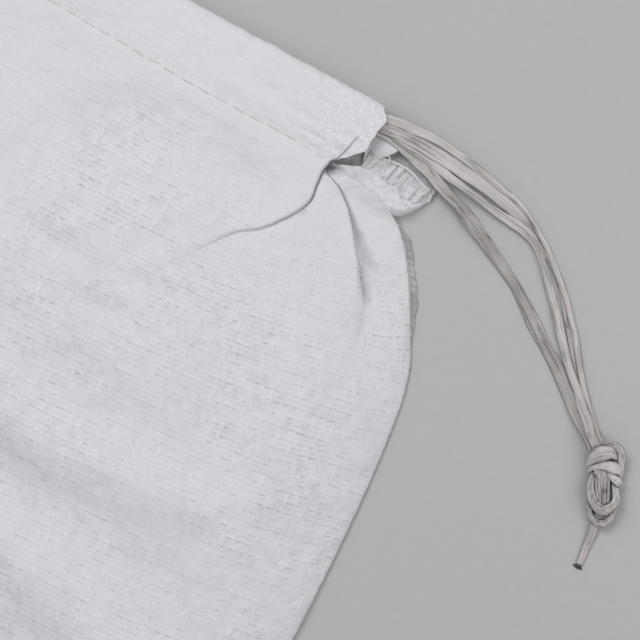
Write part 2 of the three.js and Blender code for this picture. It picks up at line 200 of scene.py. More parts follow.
class Parts:
    """Collects grids of millimetre points that become one smooth mesh. Each point keeps its flat
    place on the cloth, and a third number for its finish and painted shade, in the attribute fabric."""

    def __init__(self):
        self.points, self.fabric, self.faces, self.count = [], [], [], 0

    def add(self, grid, fabric, wrap=False, skip=None):
        """wrap closes the grid across its columns, and skip(row, column) leaves quads out."""
        rows, columns = grid.shape[:2]
        for row in range(rows - 1):
            for column in range(columns if wrap else columns - 1):
                if skip is None or not skip(row, column):
                    start = self.count + row * columns
                    here, beside = start + column, start + (column + 1) % columns
                    self.faces.append((here, beside, beside + columns, here + columns))
        self.points.append(grid.reshape(-1, 3))
        self.fabric.append(fabric.reshape(-1, 3))
        self.count += rows * columns

    def build(self, name, material):
        mesh = bpy.data.meshes.new(name)
        mesh.from_pydata((np.concatenate(self.points) * MM).tolist(), [], self.faces)
        mesh.shade_smooth()
        attribute = mesh.attributes.new("fabric", "FLOAT_VECTOR", "POINT")
        attribute.data.foreach_set("vector", np.concatenate(self.fabric).astype(np.float32).ravel())
        mesh.materials.append(material)
        piece = bpy.data.objects.new(name, mesh)
        bpy.context.scene.collection.objects.link(piece)
        return piece


# Materials

def plug(tree, value, socket):
    """Links an output to a socket, or sets a plain number on it."""
    source = value.source if isinstance(value, Value) else value
    if isinstance(source, bpy.types.NodeSocket):
        tree.links.new(source, socket)
    else:
        socket.default_value = source


def add_node(tree, kind, *inputs, **settings):
    """A shader node with its settings made and its first inputs plugged."""
    made = tree.nodes.new("ShaderNode" + kind)
    for name, setting in settings.items():
        setattr(made, name, setting)
    for socket, value in zip(made.inputs, inputs):
        plug(tree, value, socket)
    return made


class Value:
    """An output that can be used in sums, so that a shader reads as its formula."""

    def __init__(self, tree, source):
        self.tree, self.source = tree, source

    def result(self, operation, *others):
        made = add_node(self.tree, "Math", self, *others, operation=operation)
        return Value(self.tree, made.outputs[0])

    def between(self, low, high, to_low=0.0, to_high=1.0):
        limits = (low, high, to_low, to_high)
        made = add_node(self.tree, "MapRange", self, *limits, interpolation_type="SMOOTHSTEP")
        return Value(self.tree, made.outputs[0])

    def __rsub__(self, other):
        return self * -1 + other

    __add__ = __radd__ = partialmethod(result, "ADD")
    __sub__ = partialmethod(result, "SUBTRACT")
    __mul__ = __rmul__ = partialmethod(result, "MULTIPLY")
    floor = partialmethod(result, "FLOOR")
    fract = partialmethod(result, "FRACT")
    power = partialmethod(result, "POWER")
    absolute = partialmethod(result, "ABSOLUTE")
    sine = partialmethod(result, "SINE")
    modulo = partialmethod(result, "FLOORED_MODULO")
    largest = partialmethod(result, "MAXIMUM")


def from_middle(share):
    """0 in the middle of a tape or cell, and 1 at its edges."""
    return ((share - 0.5) * 2).absolute()


class Shader:
    """A material under construction."""

    def __init__(self, name, roughness, specular):
        self.material = bpy.data.materials.new(name)
        self.material.use_nodes = True
        self.tree = self.material.node_tree
        self.surface = self.tree.nodes["Principled BSDF"].inputs
        self.surface["Roughness"].default_value = roughness
        self.surface["Specular IOR Level"].default_value = specular

    def fabric(self):
        flat = add_node(self.tree, "Attribute", attribute_name="fabric").outputs["Vector"]
        split = add_node(self.tree, "SeparateXYZ", flat)
        return [Value(self.tree, output) for output in split.outputs]

    def vector(self, x, y, z=0.0):
        return add_node(self.tree, "CombineXYZ", x, y, z).outputs[0]

    def noise(self, place, scale, detail=2.0, roughness=0.5):
        """Soft noise from 0 to 1, at a vector or at (x, y, z)."""
        vector = self.vector(*place) if isinstance(place, tuple) else place
        made = add_node(self.tree, "TexNoise", vector)
        made.inputs["Scale"].default_value = scale
        made.inputs["Detail"].default_value = detail
        made.inputs["Roughness"].default_value = roughness
        return Value(self.tree, made.outputs[0])

    def random(self, x, y=0.0, z=0.0):
        made = add_node(self.tree, "TexWhiteNoise", self.vector(x, y, z))
        return Value(self.tree, made.outputs["Value"])

    def colour(self, share, stops):
        made = add_node(self.tree, "ValToRGB", share)
        ramp = made.color_ramp
        while len(ramp.elements) < len(stops):
            ramp.elements.new(0.5)
        for element, (position, rgb) in zip(ramp.elements, stops):
            element.position = position
            element.color = (*rgb, 1)
        plug(self.tree, made.outputs[0], self.surface["Base Color"])

    def roughness(self, value):
        plug(self.tree, value, self.surface["Roughness"])

    def bump(self, *layers):
        """Each layer is (height, distance in metres)."""
        normal = None
        for height, distance in layers:
            made = add_node(self.tree, "Bump")
            made.inputs["Strength"].default_value = 1.0
            made.inputs["Distance"].default_value = distance
            plug(self.tree, height, made.inputs["Height"])
            if normal is not None:
                plug(self.tree, normal, made.inputs["Normal"])
            normal = made.outputs[0]
        plug(self.tree, normal, self.surface["Normal"])


def cloth_material(name):
    """Plain weave of flat plastic tapes: faint cells, slots painted dark between crosswise tapes, soft
    sheen.
    The attribute's third number says how much of the weave shows. Below 0 it greys the cloth: as a single
    layer of cloth in the side strip and the turned layer, and as painted shade in the strip, the valley,
    the pits, the hollows and the folds."""
    shader = Shader(name, roughness=0.5, specular=0.4)
    across, along, mark = shader.fabric()
    weave = mark.largest(0.0)
    # Below 0: the grey of a single layer of cloth, and painted shade
    shade_and_single_layer = (mark * -1).largest(0.0)
    flat = shader.vector(across, along)

    def stray(place):
        """How far the tapes stray from their straight lines."""
        return shader.noise(place, 0.03, 1.0) * 1.6 + shader.noise(place, 0.4, 1.0) * 0.22

    # p and q count the tapes across and along the cloth, i and j are whole tapes
    p = across * (1 / TAPE_PITCH) + stray(flat)
    q = along * (1 / TAPE_PITCH) + stray(shader.vector(along, across, 7.0))
    i, j = p.floor(), q.floor()
    in_p, in_q = p.fract(), q.fract()
    from_p, from_q = from_middle(in_p), from_middle(in_q)
    weft_on_top = (i + j).modulo(2.0)
    edge_i, edge_j = (p + 0.5).floor(), (q + 0.5).floor()
    odd_row, odd_column = edge_j.modulo(2.0), edge_i.modulo(2.0)

    # Worn and flattened places, where less of the weave shows
    region = shader.noise((across, along, 2.0), 0.014, 2.0, 0.6).between(0.36, 0.56, 0.6, 1.0)
    patch = shader.noise((across, along, 4.0), 0.06, 2.0, 0.6).between(0.35, 0.62, 0.65, 1.0)
    shown = weave * region * patch

    # Painted shadow in slots below the crosswise tapes, each two tapes long, with a painted highlight on a
    # lip beside them
    pair = p * 0.5 + shader.random(edge_j, 21.0) * 0.6
    slot_reach = shader.random(pair.floor(), edge_j, 31.0) * 0.6 + 0.42
    slot_here = 1 - from_middle(pair.fract()).between(slot_reach - 0.3, slot_reach)
    slot_here = slot_here * shader.random(pair.floor(), edge_j, 2.0)
    slot_here = slot_here * mix(1.0, shader.random(edge_j, 22.0) * 0.45, odd_row)
    wedge = pair.fract() * 0.36
    slot_shadow = in_q.between(wedge + 0.44, 0.92).largest(1 - in_q.between(0.0, 0.24)) * slot_here
    lip_highlight = in_q.between(0.16, 0.3) * (1 - in_q.between(0.38, 0.56)) * slot_here

    def edge_shade_line(off_middle, start, place, run, edge, seed, least):
        """Painted shade along a tape's edge, in stretches, and fainter on every other tape."""
        stretch = (place * run + edge * 0.37).floor()
        strength = shader.random(edge, stretch, seed).between(least, 1.0)
        return off_middle.between(start, 1.0) * strength * mix(1.0, 0.25, edge.modulo(2.0))

    # line and seam are painted shade along the tapes' edges
    line = edge_shade_line(from_q, 0.66, p, 0.17, edge_j, 41.0, 0.3)
    seam = edge_shade_line(from_p, 0.7, q, 0.3, edge_i, 42.0, 0.45)

    # Painted light on ribs (lighter above, darker below), painted highlights on crests and glints, and
    # painted shade in split tapes and sunk cells
    rib_shading = (in_q - 0.45) * (1 - from_q.between(0.8, 1.0))
    crest_pair = (p * 0.5 + shader.random(j, 23.0) * 0.6).floor()
    crest_highlight = in_q.between(0.2, 0.35) * (1 - in_q.between(0.42, 0.56))
    crest_highlight = crest_highlight * shader.random(crest_pair, j, 6.0).between(0.5, 0.95)
    split = from_p.between(0.72, 1.0) * (1 - from_q.between(0.7, 1.0))
    split = split * shader.random(edge_i, j, 3.0).between(0.6, 1.0) * mix(1.0, 0.4, odd_column)
    glint = (1 - in_p.between(0.08, 0.4)) * shader.random(i, (q * 0.8).floor(), 5.0).between(0.6, 0.98)
    half_p, half_q = p * 0.5, q * 0.5
    sunk_shade = shader.random(half_p.floor(), half_q.floor(), 9.0).between(0.75, 1.0)
    for half in (half_p, half_q):
        sunk_shade = sunk_shade * (1 - from_middle(half.fract()).between(0.5, 1.0))
    cell_shade = shader.random((half_p + 0.25).floor(), (half_q + 0.25).floor(), 10.0) - 0.5
    tape_shade = mix(shader.random(i, 3.5), shader.random(j, 4.5), weft_on_top) - 0.5

    # Height of the warp or weft tape on top, rounded at its sides and dipping at its ends
    warp_edge = 1 - from_p.between(0.7, 1.0)
    weft_edge = 1 - from_q.between(0.7, 1.0)
    height = mix(warp_edge * (1 - from_q.power(2.4)), weft_edge * (1 - from_p.power(2.4)), weft_on_top)

    mottle = shader.noise(flat, 0.025) - 0.5
    pleats = shader.noise((along * 0.42 + across * 0.4, along * 0.05, 17.0), 1.0, 2.0, 0.6)
    blotches = shader.noise((across, along, 19.0), 0.3, 2.0, 0.6)
    specks = shader.noise(flat, 0.5, 2.0, 0.6).between(0.3, 0.7)
    hem_end = across.between(60.0, 108.0) * along.between(262.0, 270.0) * (1 - along.between(300.0, 306.0))
    # Brighter band where the inner hem lies under the panel: partly the second layer of cloth, partly
    # painted light
    double_layer_and_light = along.between(252.0, 266.0) * across.between(-60.0, 20.0)
    double_layer_and_light = double_layer_and_light * (1 - across.between(150.0, 250.0))
    share = (
        0.62
        + mottle * 0.08
        + double_layer_and_light * 0.06
        # Painted light and shade of the weave: highlights on ribs, crests, glints and lips, shade in sunk
        # cells, slots, split tapes and edge lines
        + shown * (tape_shade * 0.05 + cell_shade * 0.10 + rib_shading * 0.04 + glint * 0.19 + crest_highlight * 0.08)
        + shown * (lip_highlight * 0.11 - sunk_shade * 0.08 - slot_shadow * 0.29 - split * 0.28 - line * 0.11 - seam * 0.09)
        # Greyer single layers and painted shade, with darker pleat lines and blotches
        - shade_and_single_layer * (0.40 + (pleats - 0.5) * 0.45 + (blotches - 0.5) * 0.7)
        + hem_end * (specks - 0.5) * 0.24
    )
    shader.colour(share, [
        (0.0, (0.33, 0.318, 0.325)),
        (0.35, (0.53, 0.521, 0.543)),
        (0.62, (0.70, 0.693, 0.728)),
        (1.0, (0.86, 0.852, 0.89)),
    ])
    shader.roughness(shader.noise(flat, 0.3, 1.0).between(0.3, 0.7, 0.46, 0.58))
    crinkle = shader.noise(flat, 0.075, 1.0, 0.4)
    facets = (shader.noise((across, along, 11.0), 0.14, 1.0, 0.4) - 0.5).absolute()
    crumple = shader.noise((across * 0.5, along + across * 0.12, 15.0), 0.17)
    crumple = (crumple - 0.5).absolute() * hem_end
    shader.bump((crinkle, 0.0013), (facets * -1, 0.0009), (crumple * -1, 0.0023), (height * shown, 0.00006))
    shader.surface["Sheen Weight"].default_value = 0.1
    shader.surface["Sheen Roughness"].default_value = 0.4
    return shader.material


def tape_material(name):
    """Flat plastic tape with fine fibres along its length, silky and a little yellowed.
    The attribute's third number darkens a cut end, adds painted shade at rims and creases, and below 0
    makes the tape paler, partly as painted light."""
    shader = Shader(name, roughness=0.4, specular=0.4)
    # The third number holds the darkened cut end, painted shade at rims and creases, and paler tone and
    # painted light
    across, along, burnt = shader.fabric()
    fibres = shader.noise((across * 2.2, along * 0.03), 1.0)
    streaks = shader.noise((across * 0.5, along * 0.02, 5.0), 1.0)
    stains = shader.noise((across * 0.05, along * 0.05, 9.0), 1.0)
    splits = (shader.noise((across * 0.6, along * 0.025, 13.0), 1.0, 1.0) - 0.5).absolute()
    line = (1 - splits.between(0.0, 0.03)) * shader.noise((across, along), 0.03, 1.0).between(0.40, 0.60)
    share = (
        0.15 + fibres.between(0.25, 0.75) * 0.09 + streaks.between(0.3, 0.7) * 0.20
        + stains.between(0.3, 0.7) * 0.20 - line * 0.28 - burnt * 1.2
    )
    shader.colour(share, [
        (0.0, (0.05, 0.048, 0.046)),
        (0.12, (0.25, 0.238, 0.233)),
        (0.5, (0.54, 0.514, 0.504)),
        (0.9, (0.77, 0.737, 0.724)),
    ])
    shader.roughness(fibres.between(0.2, 0.8, 0.32, 0.5))
    shader.bump((streaks, 0.0003), (fibres, 0.00005), (line * -1, 0.0003))
    return shader.material


def thread_material(name):
    """Twisted matt sewing thread."""
    shader = Shader(name, roughness=0.7, specular=0.25)
    around, along = shader.fabric()[:2]
    twist = ((along * 2.6 + around) * math.pi).sine() * 0.5 + 0.5
    fuzz = shader.noise((around, along), 1.3, 3.0, 0.6)
    shader.colour(twist * 0.4 + fuzz * 0.6, [
        (0.0, (0.60, 0.59, 0.60)),
        (0.5, (0.82, 0.81, 0.815)),
        (1.0, (0.92, 0.915, 0.92)),
    ])
    shader.bump((twist * 0.7 + fuzz * 0.3, 0.0003))
    shader.surface["Sheen Weight"].default_value = 0.2
    return shader.material


def floor_material(name):
    """Pale matt floor with a faint grain."""
    shader = Shader(name, roughness=0.8, specular=0.2)
    place = add_node(shader.tree, "TexCoord").outputs["Object"]
    grain = shader.noise(place, 180.0, 3.0, 0.6)
    cloud = shader.noise(place, 3.0)
    shader.colour(grain * 0.4 + cloud * 0.6, [
        (0.2, (0.47, 0.47, 0.475)),
        (0.8, (0.52, 0.52, 0.525)),
    ])
    shader.bump((grain, 0.0001))
    return shader.material


CLOTH = cloth_material("woven_cloth_finish")
TAPE = tape_material("drawstring_finish")
THREAD = thread_material("sewing_thread_finish")

# Drawstring: each tape's route from inside the hem to the knot, with its width at each point

# The paler tables lift or darken each strand along its length: partly its tone, partly painted light and
# shade
STRANDS = {
    "a": dict(pleats=1.2, depth=0.4, diameter=3.4, tone_and_painted_light=[(0, 0.13), (240, 0.11)], route=[
        (108, 292.2, 13.1, 4), (118.2, 294.4, 13.1, 4.6), (129.7, 295.9, 12.8, 5),
        (138.8, 296.7, 12.2, 4.4), (146.9, 296.7, 11.4, 3.8), (155, 295.9, 10.4, 3.6),
        (163.1, 295, 9.4, 3.8), (170.6, 293.8, 8.4, 3.6), (177.5, 292.5, 7.5, 3.4),
        (185.1, 290.9, 6.5, 3.2), (191.8, 289.7, 5.5, 2.8), (197.9, 287.9, 4.7, 2.5), (204, 285, 3.9, 2.3),
        (210.3, 281.2, 3.2, 2.3), (217.4, 276.9, 2.5, 2.5), (224.8, 270.9, 2.2, 2.8),
        (233.2, 263.7, 2.1, 3), (241.4, 256, 2.1, 3), (247, 249.6, 2.1, 3), (252.2, 243.9, 2.1, 3),
        (257.3, 237, 2.2, 3), (261.5, 231.7, 2.2, 3), (266.9, 224.6, 2.4, 3), (272.8, 217.7, 2.9, 3),
        (278.7, 211.3, 3.7, 3), (285.1, 205.2, 4.5, 3), (290.9, 200.7, 4.8, 3), (292.8, 197.2, 4.8, 3),
    ]),
    "b": dict(pleats=1.6, depth=0.85, diameter=5.8, tone_and_painted_light=[
        (0, 0.13), (75, 0.12), (110, 0.05), (150, 0.1), (240, 0.12),
    ], route=[
        (108, 287, 13.1, 5.4), (120.6, 289.8, 12.9, 5.6), (129.6, 290.7, 12.5, 5.9),
        (139.1, 290.8, 12.1, 6.4), (147.8, 290.5, 11.5, 6.8), (156.1, 290, 10.4, 7),
        (165.1, 289.2, 8.7, 7), (173.6, 288.4, 6.9, 6.8), (183.1, 287, 5.2, 6.6), (192.4, 284.9, 3.7, 6.4),
        (201.5, 282.4, 2.4, 5.6), (208.5, 280, 1.6, 5), (217.7, 275.2, 1, 4.6), (225.5, 269.8, 0.8, 3.9),
        (233, 263.5, 0.8, 3.9), (240.4, 255.8, 0.8, 4.4), (249.3, 244.9, 0.8, 5.6),
        (256.1, 236.5, 0.8, 5.8), (261.2, 230.5, 0.8, 4.5), (266, 224.5, 0.9, 4.5), (272.4, 217.5, 1.3, 5),
        (278.4, 211.1, 2.2, 5), (284.7, 205, 3.1, 5), (290.1, 200.3, 3.4, 5), (292.2, 196.4, 3.4, 5),
    ]),
    "c": dict(pleats=1.4, depth=0.7, diameter=4.4, tone_and_painted_light=[(0, 0.12), (240, 0.11)], route=[
        (108, 289.6, 11.8, 4), (117.5, 290, 11.7, 4), (123, 289.2, 11.5, 4.6), (131, 288.2, 11.2, 5.2),
        (141.3, 287.1, 10.8, 5.6), (151.8, 285.3, 10.1, 5), (159.8, 283.6, 9.1, 4.2),
        (166.9, 282.6, 7.9, 3.8), (177.2, 281.2, 6.3, 3.9), (187.4, 279.4, 4.9, 4.2),
        (197.5, 278.5, 3.9, 4.8), (206, 277.4, 3.3, 5), (212.8, 274.9, 2.8, 4.5), (220.9, 267.9, 2.3, 3.5),
        (228.6, 259.9, 2.1, 4.2), (237.9, 250.1, 2.1, 4.4), (245.9, 240.6, 2.2, 4.6), (252.8, 233, 2.4, 4),
        (259.5, 226.1, 3, 4), (266.2, 220.2, 4, 4.2), (273.2, 213.5, 5, 5.5), (279.2, 208.1, 6.2, 5.5),
        (285.3, 201.8, 7.2, 4.5), (288.9, 199.5, 7.4, 4.5), (291.4, 195.4, 7.4, 4.5),
    ]),
    "d": dict(pleats=1.5, depth=0.9, diameter=6.2, tone_and_painted_light=[
        (0, 0.11), (42, 0.1), (62, -0.05), (180, -0.03), (225, 0.05),
    ], route=[
        (108, 284.6, 11.8, 5), (117.5, 287.2, 11.4, 5), (123, 287.6, 10.4, 5.4), (131.5, 286, 9.9, 6),
        (141.4, 283.6, 9.6, 7), (151, 280.6, 9, 6.5), (156.1, 278.2, 8.7, 6.3), (161.9, 276, 8, 6),
        (168.9, 273.9, 7, 5.5), (177.7, 269.8, 5.3, 7), (187.4, 265, 3.6, 6.5), (198.1, 259.8, 2.1, 6),
        (207.9, 254.6, 1.3, 5.5), (214.1, 251.2, 1, 5.4), (221.3, 246.4, 0.8, 5.9),
        (231.6, 238.9, 0.8, 7.1), (243.6, 230.6, 0.8, 6.2), (253, 224.4, 0.8, 7), (262.1, 217.1, 1, 6.5),
        (272, 208.6, 2.6, 5.5), (280.4, 202.6, 4.9, 4.5), (286, 198.7, 5.9, 4.2), (289.4, 195, 6, 4.2),
    ]),
}

KNOT_TOP = np.array([290.5, 200.5])
KNOT_AXIS = np.array([0.474, -0.8805])
KNOT_SIDE = np.array([0.8805, 0.474])
KNOT_MIDDLE_HEIGHT = 4.8
TAPE_SHEET = 0.22
UP = np.array([0.0, 0.0, 1.0])
STRAND_SAMPLES = 260
TAIL_SAMPLES = 90
FRINGE_FIBRES = 30


def knot_point(side, along, z, width):
    """A point of the knot, given across its axis, along it from its top, and above the floor."""
    x, y = KNOT_TOP + along * KNOT_AXIS + side * KNOT_SIDE
    return (x, y, z, width)


def saw(t, sharpness=0.12):
    """A fold profile: a slow rise and a quick fall, from 0 to 1."""
    t = t % 1.0
    return np.where(t < 1 - sharpness, t / (1 - sharpness), (1 - t) / sharpness)


def frame_along(path, hints):
    """Lengths along a path, and its directions across and towards the hints."""
    tangents = unit(np.gradient(path, axis=0))
    across = unit(np.cross(hints, tangents))
    normals = unit(np.cross(tangents, across))
    return run_along(path), across[:, None, :], normals[:, None, :]


def ribbon(
        parts, path, widths, hints, pleats, depth, seed,
        crown=0.0, columns=27, flutter=0.3, burnt=0.0, rim_shade=0.0, tone_and_painted_light=((0, 0), (1, 0)), crumple=0.0):
    """A thin pleated tape along a path. hints are the directions that its upper face looks to. The paler
    table lists (length, how much paler), partly tone and partly painted light and shade; rims and crumple
    add painted shade."""
    lengths, across, normals = frame_along(path, hints)
    u = np.linspace(-1, 1, columns)[None, :]
    s = lengths[:, None]
    half = widths[:, None] / 2
    drift = 0.5 * noise(s, seed * 3.1, 45.0, seed) + 0.12 * noise(s, seed * 5.7, 11.0, seed + 1)
    fold = saw(pleats * (u + 1) / 2 + 0.3 + drift)
    fine = 0.1 * noise(u * 3, s * 0.05, 1.0, seed + 2)
    rim = np.sqrt(np.maximum(0, 1 - u ** 2))
    creases = ridged(s * 0.6 + 9, half * u + seed * 5.3, 2.2, seed + 5)
    height = depth * (fold - 0.5 + fine) + crown * rim + crumple * (creases - 0.5)
    wave = flutter * noise(s, seed * 1.3, 16.0, seed + 3)
    lateral = half * (u + 0.06 * noise(s, u, 7.0, seed + 4))
    sheet = TAPE_SHEET * (0.5 + 0.5 * rim)

    # Round the section: over the upper face and back below
    ring = np.concatenate([np.arange(columns), np.arange(columns - 2, 0, -1)])
    face = np.where(np.arange(len(ring)) < columns, 0.5, -0.5)
    lateral, height = lateral[:, ring], height[:, ring] + wave + face * sheet[:, ring]
    grid = path[:, None, :] + lateral[..., None] * across + height[..., None] * normals
    mark = burnt * smooth(lengths[-1] - 2.2, lengths[-1] - 0.4, s)
    # Painted shade at the tape's rims, and the paler lift along its length
    mark = mark + rim_shade * np.abs(u[:, ring]) ** 7 - table(tone_and_painted_light, s)
    # Painted shade in the creases of crumpled tape
    mark = mark + 0.5 * crumple * (0.4 - creases[:, ring])
    flat_places = (seed * 40 + lateral * (1 + 0.4 * pleats), s + seed * 13, mark)
    fabric = np.stack(np.broadcast_arrays(*flat_places), axis=-1)
    parts.add(grid, fabric, wrap=True)
    for row, turn in ((0, 1), (-1, -1)):
        cap = grid[row][::turn]
        parts.add(np.stack([cap, mix(cap, path[row], 0.5)]), np.stack([fabric[row][::turn]] * 2), wrap=True)
    return lengths[-1]


def tube(parts, path, radius, sides=8, flat=1.0, seed=0, mark=0.0):
    """A round or flattened thread along a path, narrowing at both ends."""
    lengths, across, normals = frame_along(path, UP)
    angles = np.linspace(0, 2 * np.pi, sides, endpoint=False)[None, :, None]
    ends = np.sqrt(np.clip(np.minimum(lengths, lengths[-1] - lengths) / (radius * 1.4), 0.03, 1))
    section = np.cos(angles) * across + flat * np.sin(angles) * normals
    grid = path[:, None, :] + radius * ends[:, None, None] * section
    fabric = np.full((len(path), sides, 3), mark)
    fabric[..., 0] = angles[..., 0] / np.pi
    fabric[..., 1] = lengths[:, None] + seed * 7.3
    parts.add(grid, fabric, wrap=True)


strands = {}
for order, (letter, spec) in enumerate(STRANDS.items()):
    samples, length = curve_through(spec["route"], STRAND_SAMPLES)
    path = as_seen(samples[:, :3])
    parts = Parts()
    ribbon(
        parts, path, samples[:, 3], UP, spec["pleats"], spec["depth"], seed=order + 1,
        crown=0.25, rim_shade=0.1, tone_and_painted_light=spec["tone_and_painted_light"],
    )
    strands[letter] = (parts.build(f"drawstring_strand_{letter}_tape", TAPE), path, length)

# Knot: tapes wound round the bundle, with points as (side, along, height, width)

knot = Parts()


def knot_band(
        points, pleats, depth, seed, crown=0.4, lean=0.0, outward=True,
        count=70, columns=21, tone_and_painted_light=0.12, crumple=0.28):
    """A tape of the knot. Its upper face looks away from the knot's middle line, or up."""
    samples = curve_through([knot_point(*point) for point in points], count)[0]
    path = samples[:, :3]
    hints = UP
    if outward:
        along = (path[:, :2] - KNOT_TOP) @ KNOT_AXIS
        middle = KNOT_TOP + along[:, None] * KNOT_AXIS
        middle = np.column_stack([middle, np.full(count, KNOT_MIDDLE_HEIGHT)])
        hints = unit(unit(path - middle) + lean * UP)
    ribbon(
        knot, as_seen(path), samples[:, 3], hints, pleats, depth, seed, crown, columns,
        flutter=0.1, rim_shade=0.55, tone_and_painted_light=((0, tone_and_painted_light), (100, tone_and_painted_light)), crumple=crumple)


TOP_WRAP = [
    (-6.2, 9.6, 2.0, 2.4), (-6.3, 8.6, 4.0, 3.4), (-4.9, 6.1, 7.4, 6.2), (-2.3, 3.9, 9.8, 8.2),
    (0.6, 2.8, 10.9, 8.6), (3.5, 2.6, 10.6, 7.6), (6.1, 3.5, 8.8, 5.4), (7.7, 4.6, 6.2, 4.0),
    (8.0, 5.4, 4.0, 3.0),
]
SECOND_WRAP = [
    (-6.2, 12.2, 3.4, 3.0), (-5.1, 10.5, 6.6, 3.2), (-2.8, 9.6, 8.8, 3.2), (-0.2, 9.2, 9.8, 4.2),
    (2.4, 9.2, 10.3, 5.4), (5.0, 9.7, 9.9, 6.2), (7.6, 10.6, 8.6, 6.2), (9.3, 11.9, 6.4, 5.0),
    (9.7, 13.4, 4.4, 3.4),
]
RIGHT_LOOP = [
    (1.4, -2.1, 5.6, 2.4), (4.5, -1.7, 7.4, 3.2), (7.4, -0.7, 8.6, 3.8), (9.5, 1.2, 8.8, 4.4),
    (10.3, 3.7, 8.0, 4.6), (10.1, 6.2, 7.2, 4.4), (10.0, 9.0, 6.4, 3.6), (9.8, 12.1, 5.2, 3.0),
    (9.2, 15.0, 4.6, 2.6),
]
PULLED_TAB = [
    (3.3, 13.3, 8.6, 1.8), (5.0, 14.7, 9.5, 3.4), (6.9, 16.1, 9.5, 4.6), (8.4, 17.3, 8.6, 5.0),
    (9.5, 18.3, 6.6, 4.4),
]
OUTER_LOOP = [
    (-5.2, 20, 4.6, 2.8), (-5.5, 24, 4.6, 3.0), (-5.8, 28, 4.8, 3.2), (-5.6, 32, 5.0, 3.4),
    (-4.4, 35.6, 5.2, 3.6), (-2.0, 37.5, 5.4, 3.8), (0.6, 37.9, 5.4, 3.8), (3.2, 36.7, 5.4, 3.6),
    (5.2, 34.0, 5.4, 3.4), (6.6, 30.7, 5.2, 3.2), (7.5, 27.2, 5.0, 3.0), (7.3, 22, 5.0, 2.8),
]
INNER_LOOP = [
    (-3.6, 12.2, 6.4, 2.6), (-4.7, 15.8, 7.0, 3.2), (-5.3, 19.5, 7.4, 3.8), (-5.1, 23.1, 8.0, 4.4),
    (-4.0, 27.0, 8.6, 5.2), (-2.0, 29.8, 9.0, 5.8), (0.4, 31.3, 9.2, 6.0), (3.4, 30.8, 9.2, 5.4),
    (6.0, 28.8, 9.0, 4.8), (7.4, 26.1, 8.4, 4.3), (7.2, 22.6, 7.8, 3.9), (6.9, 19.5, 7.2, 3.7),
    (6.6, 17.2, 6.6, 3.2),
]
# Bundle between the wraps and the loops: each pleat's side at its top and bottom, and its width,
# and then (share of the way down, along, height, share of the width)
BUNDLE_PLEATS = [
    (-3.0, -1.6, 2.6), (-1.5, -0.6, 2.3), (-0.1, 0.2, 2.1), (1.2, 1.0, 2.4), (2.6, 2.1, 2.4),
    (3.8, 3.3, 2.0),
]
BUNDLE_RUN = [(0, 9, 8.0, 1), (0.3, 14, 8.5, 1), (0.7, 21, 8.2, 0.95), (1, 28.5, 7.2, 0.8)]
# Core of the knot as (side, along, width), in three layers
CORE = [(0.5, 2, 9), (0.4, 8, 10), (0.3, 14, 9.5), (0.3, 20, 9), (0.4, 26, 9), (0.4, 31, 8)]
CORE_HEIGHTS = (6.2, 3.4, 1.2)

# Knot tapes are made paler as painted light, less so on the lower loops, and the bundle and core are
# darkened as painted shade
knot_band(TOP_WRAP, 0.3, 0.12, 21, crown=1.1, columns=25, crumple=0.1)
knot_band(SECOND_WRAP, 1.3, 0.3, 22, crown=0.8, lean=1.2, columns=25, crumple=0.15)
knot_band(RIGHT_LOOP, 2.2, 0.7, 23, crown=0.5, lean=1.6, columns=31, count=90)
knot_band(PULLED_TAB, 1.3, 0.3, 24, crown=0.9, lean=1.6)
for number, (top, bottom, width) in enumerate(BUNDLE_PLEATS):
    lift = 0.5 * (number % 2)
    points = [(mix(top, bottom, down), a, z + lift, width * share) for down, a, z, share in BUNDLE_RUN]
    knot_band(points, 0.9, 0.3, 30 + number, crown=0.8, outward=False, count=50, columns=13, tone_and_painted_light=-0.04)
knot_band(OUTER_LOOP, 1.4, 0.35, 25, crown=0.7, lean=2.2, count=130, tone_and_painted_light=0.07)
knot_band(INNER_LOOP, 3.2, 0.5, 26, crown=0.6, lean=3.0, count=150, columns=37, tone_and_painted_light=0.07)
for layer, height in enumerate(CORE_HEIGHTS):
    points = [(side + 0.4 * layer, along, height, width + 2 - layer) for side, along, width in CORE]
    knot_band(points, 4.0, 0.9, 40 + layer, outward=False, columns=31, tone_and_painted_light=-0.15)
knot_piece = knot.build("drawstring_knot_tapes", TAPE)

# Tail that leaves the knot's lower end, with a cut, darkened and frayed tip

TAIL = [
    (0.4, 29, 4.4, 3.6), (-1.2, 33, 3.9, 4), (-3.0, 37.6, 3.2, 4.3), (-4.5, 42, 2.4, 4.4),
    (-6.1, 46.2, 1.5, 4.3), (-7.6, 50, 1, 4.1), (-9.2, 54, 0.8, 3.8), (-10.7, 57.4, 0.8, 3.4),
    (-11.7, 59.6, 0.8, 3.2),
]
tail_samples, tail_length = curve_through([knot_point(*point) for point in TAIL], TAIL_SAMPLES)
tail_samples[:, :3] = as_seen(tail_samples[:, :3])
tail_parts = Parts()
ribbon(
    tail_parts, tail_samples[:, :3], tail_samples[:, 3], UP, pleats=1.0, depth=0.35, seed=60,
    crown=0.4, flutter=0.1, burnt=0.7,
)
fringe = np.random.default_rng(91)
tip, tip_along = tail_samples[-1, :3], unit(tail_samples[-1, :3] - tail_samples[-6, :3])
tip_across = unit(np.cross(UP, tip_along))
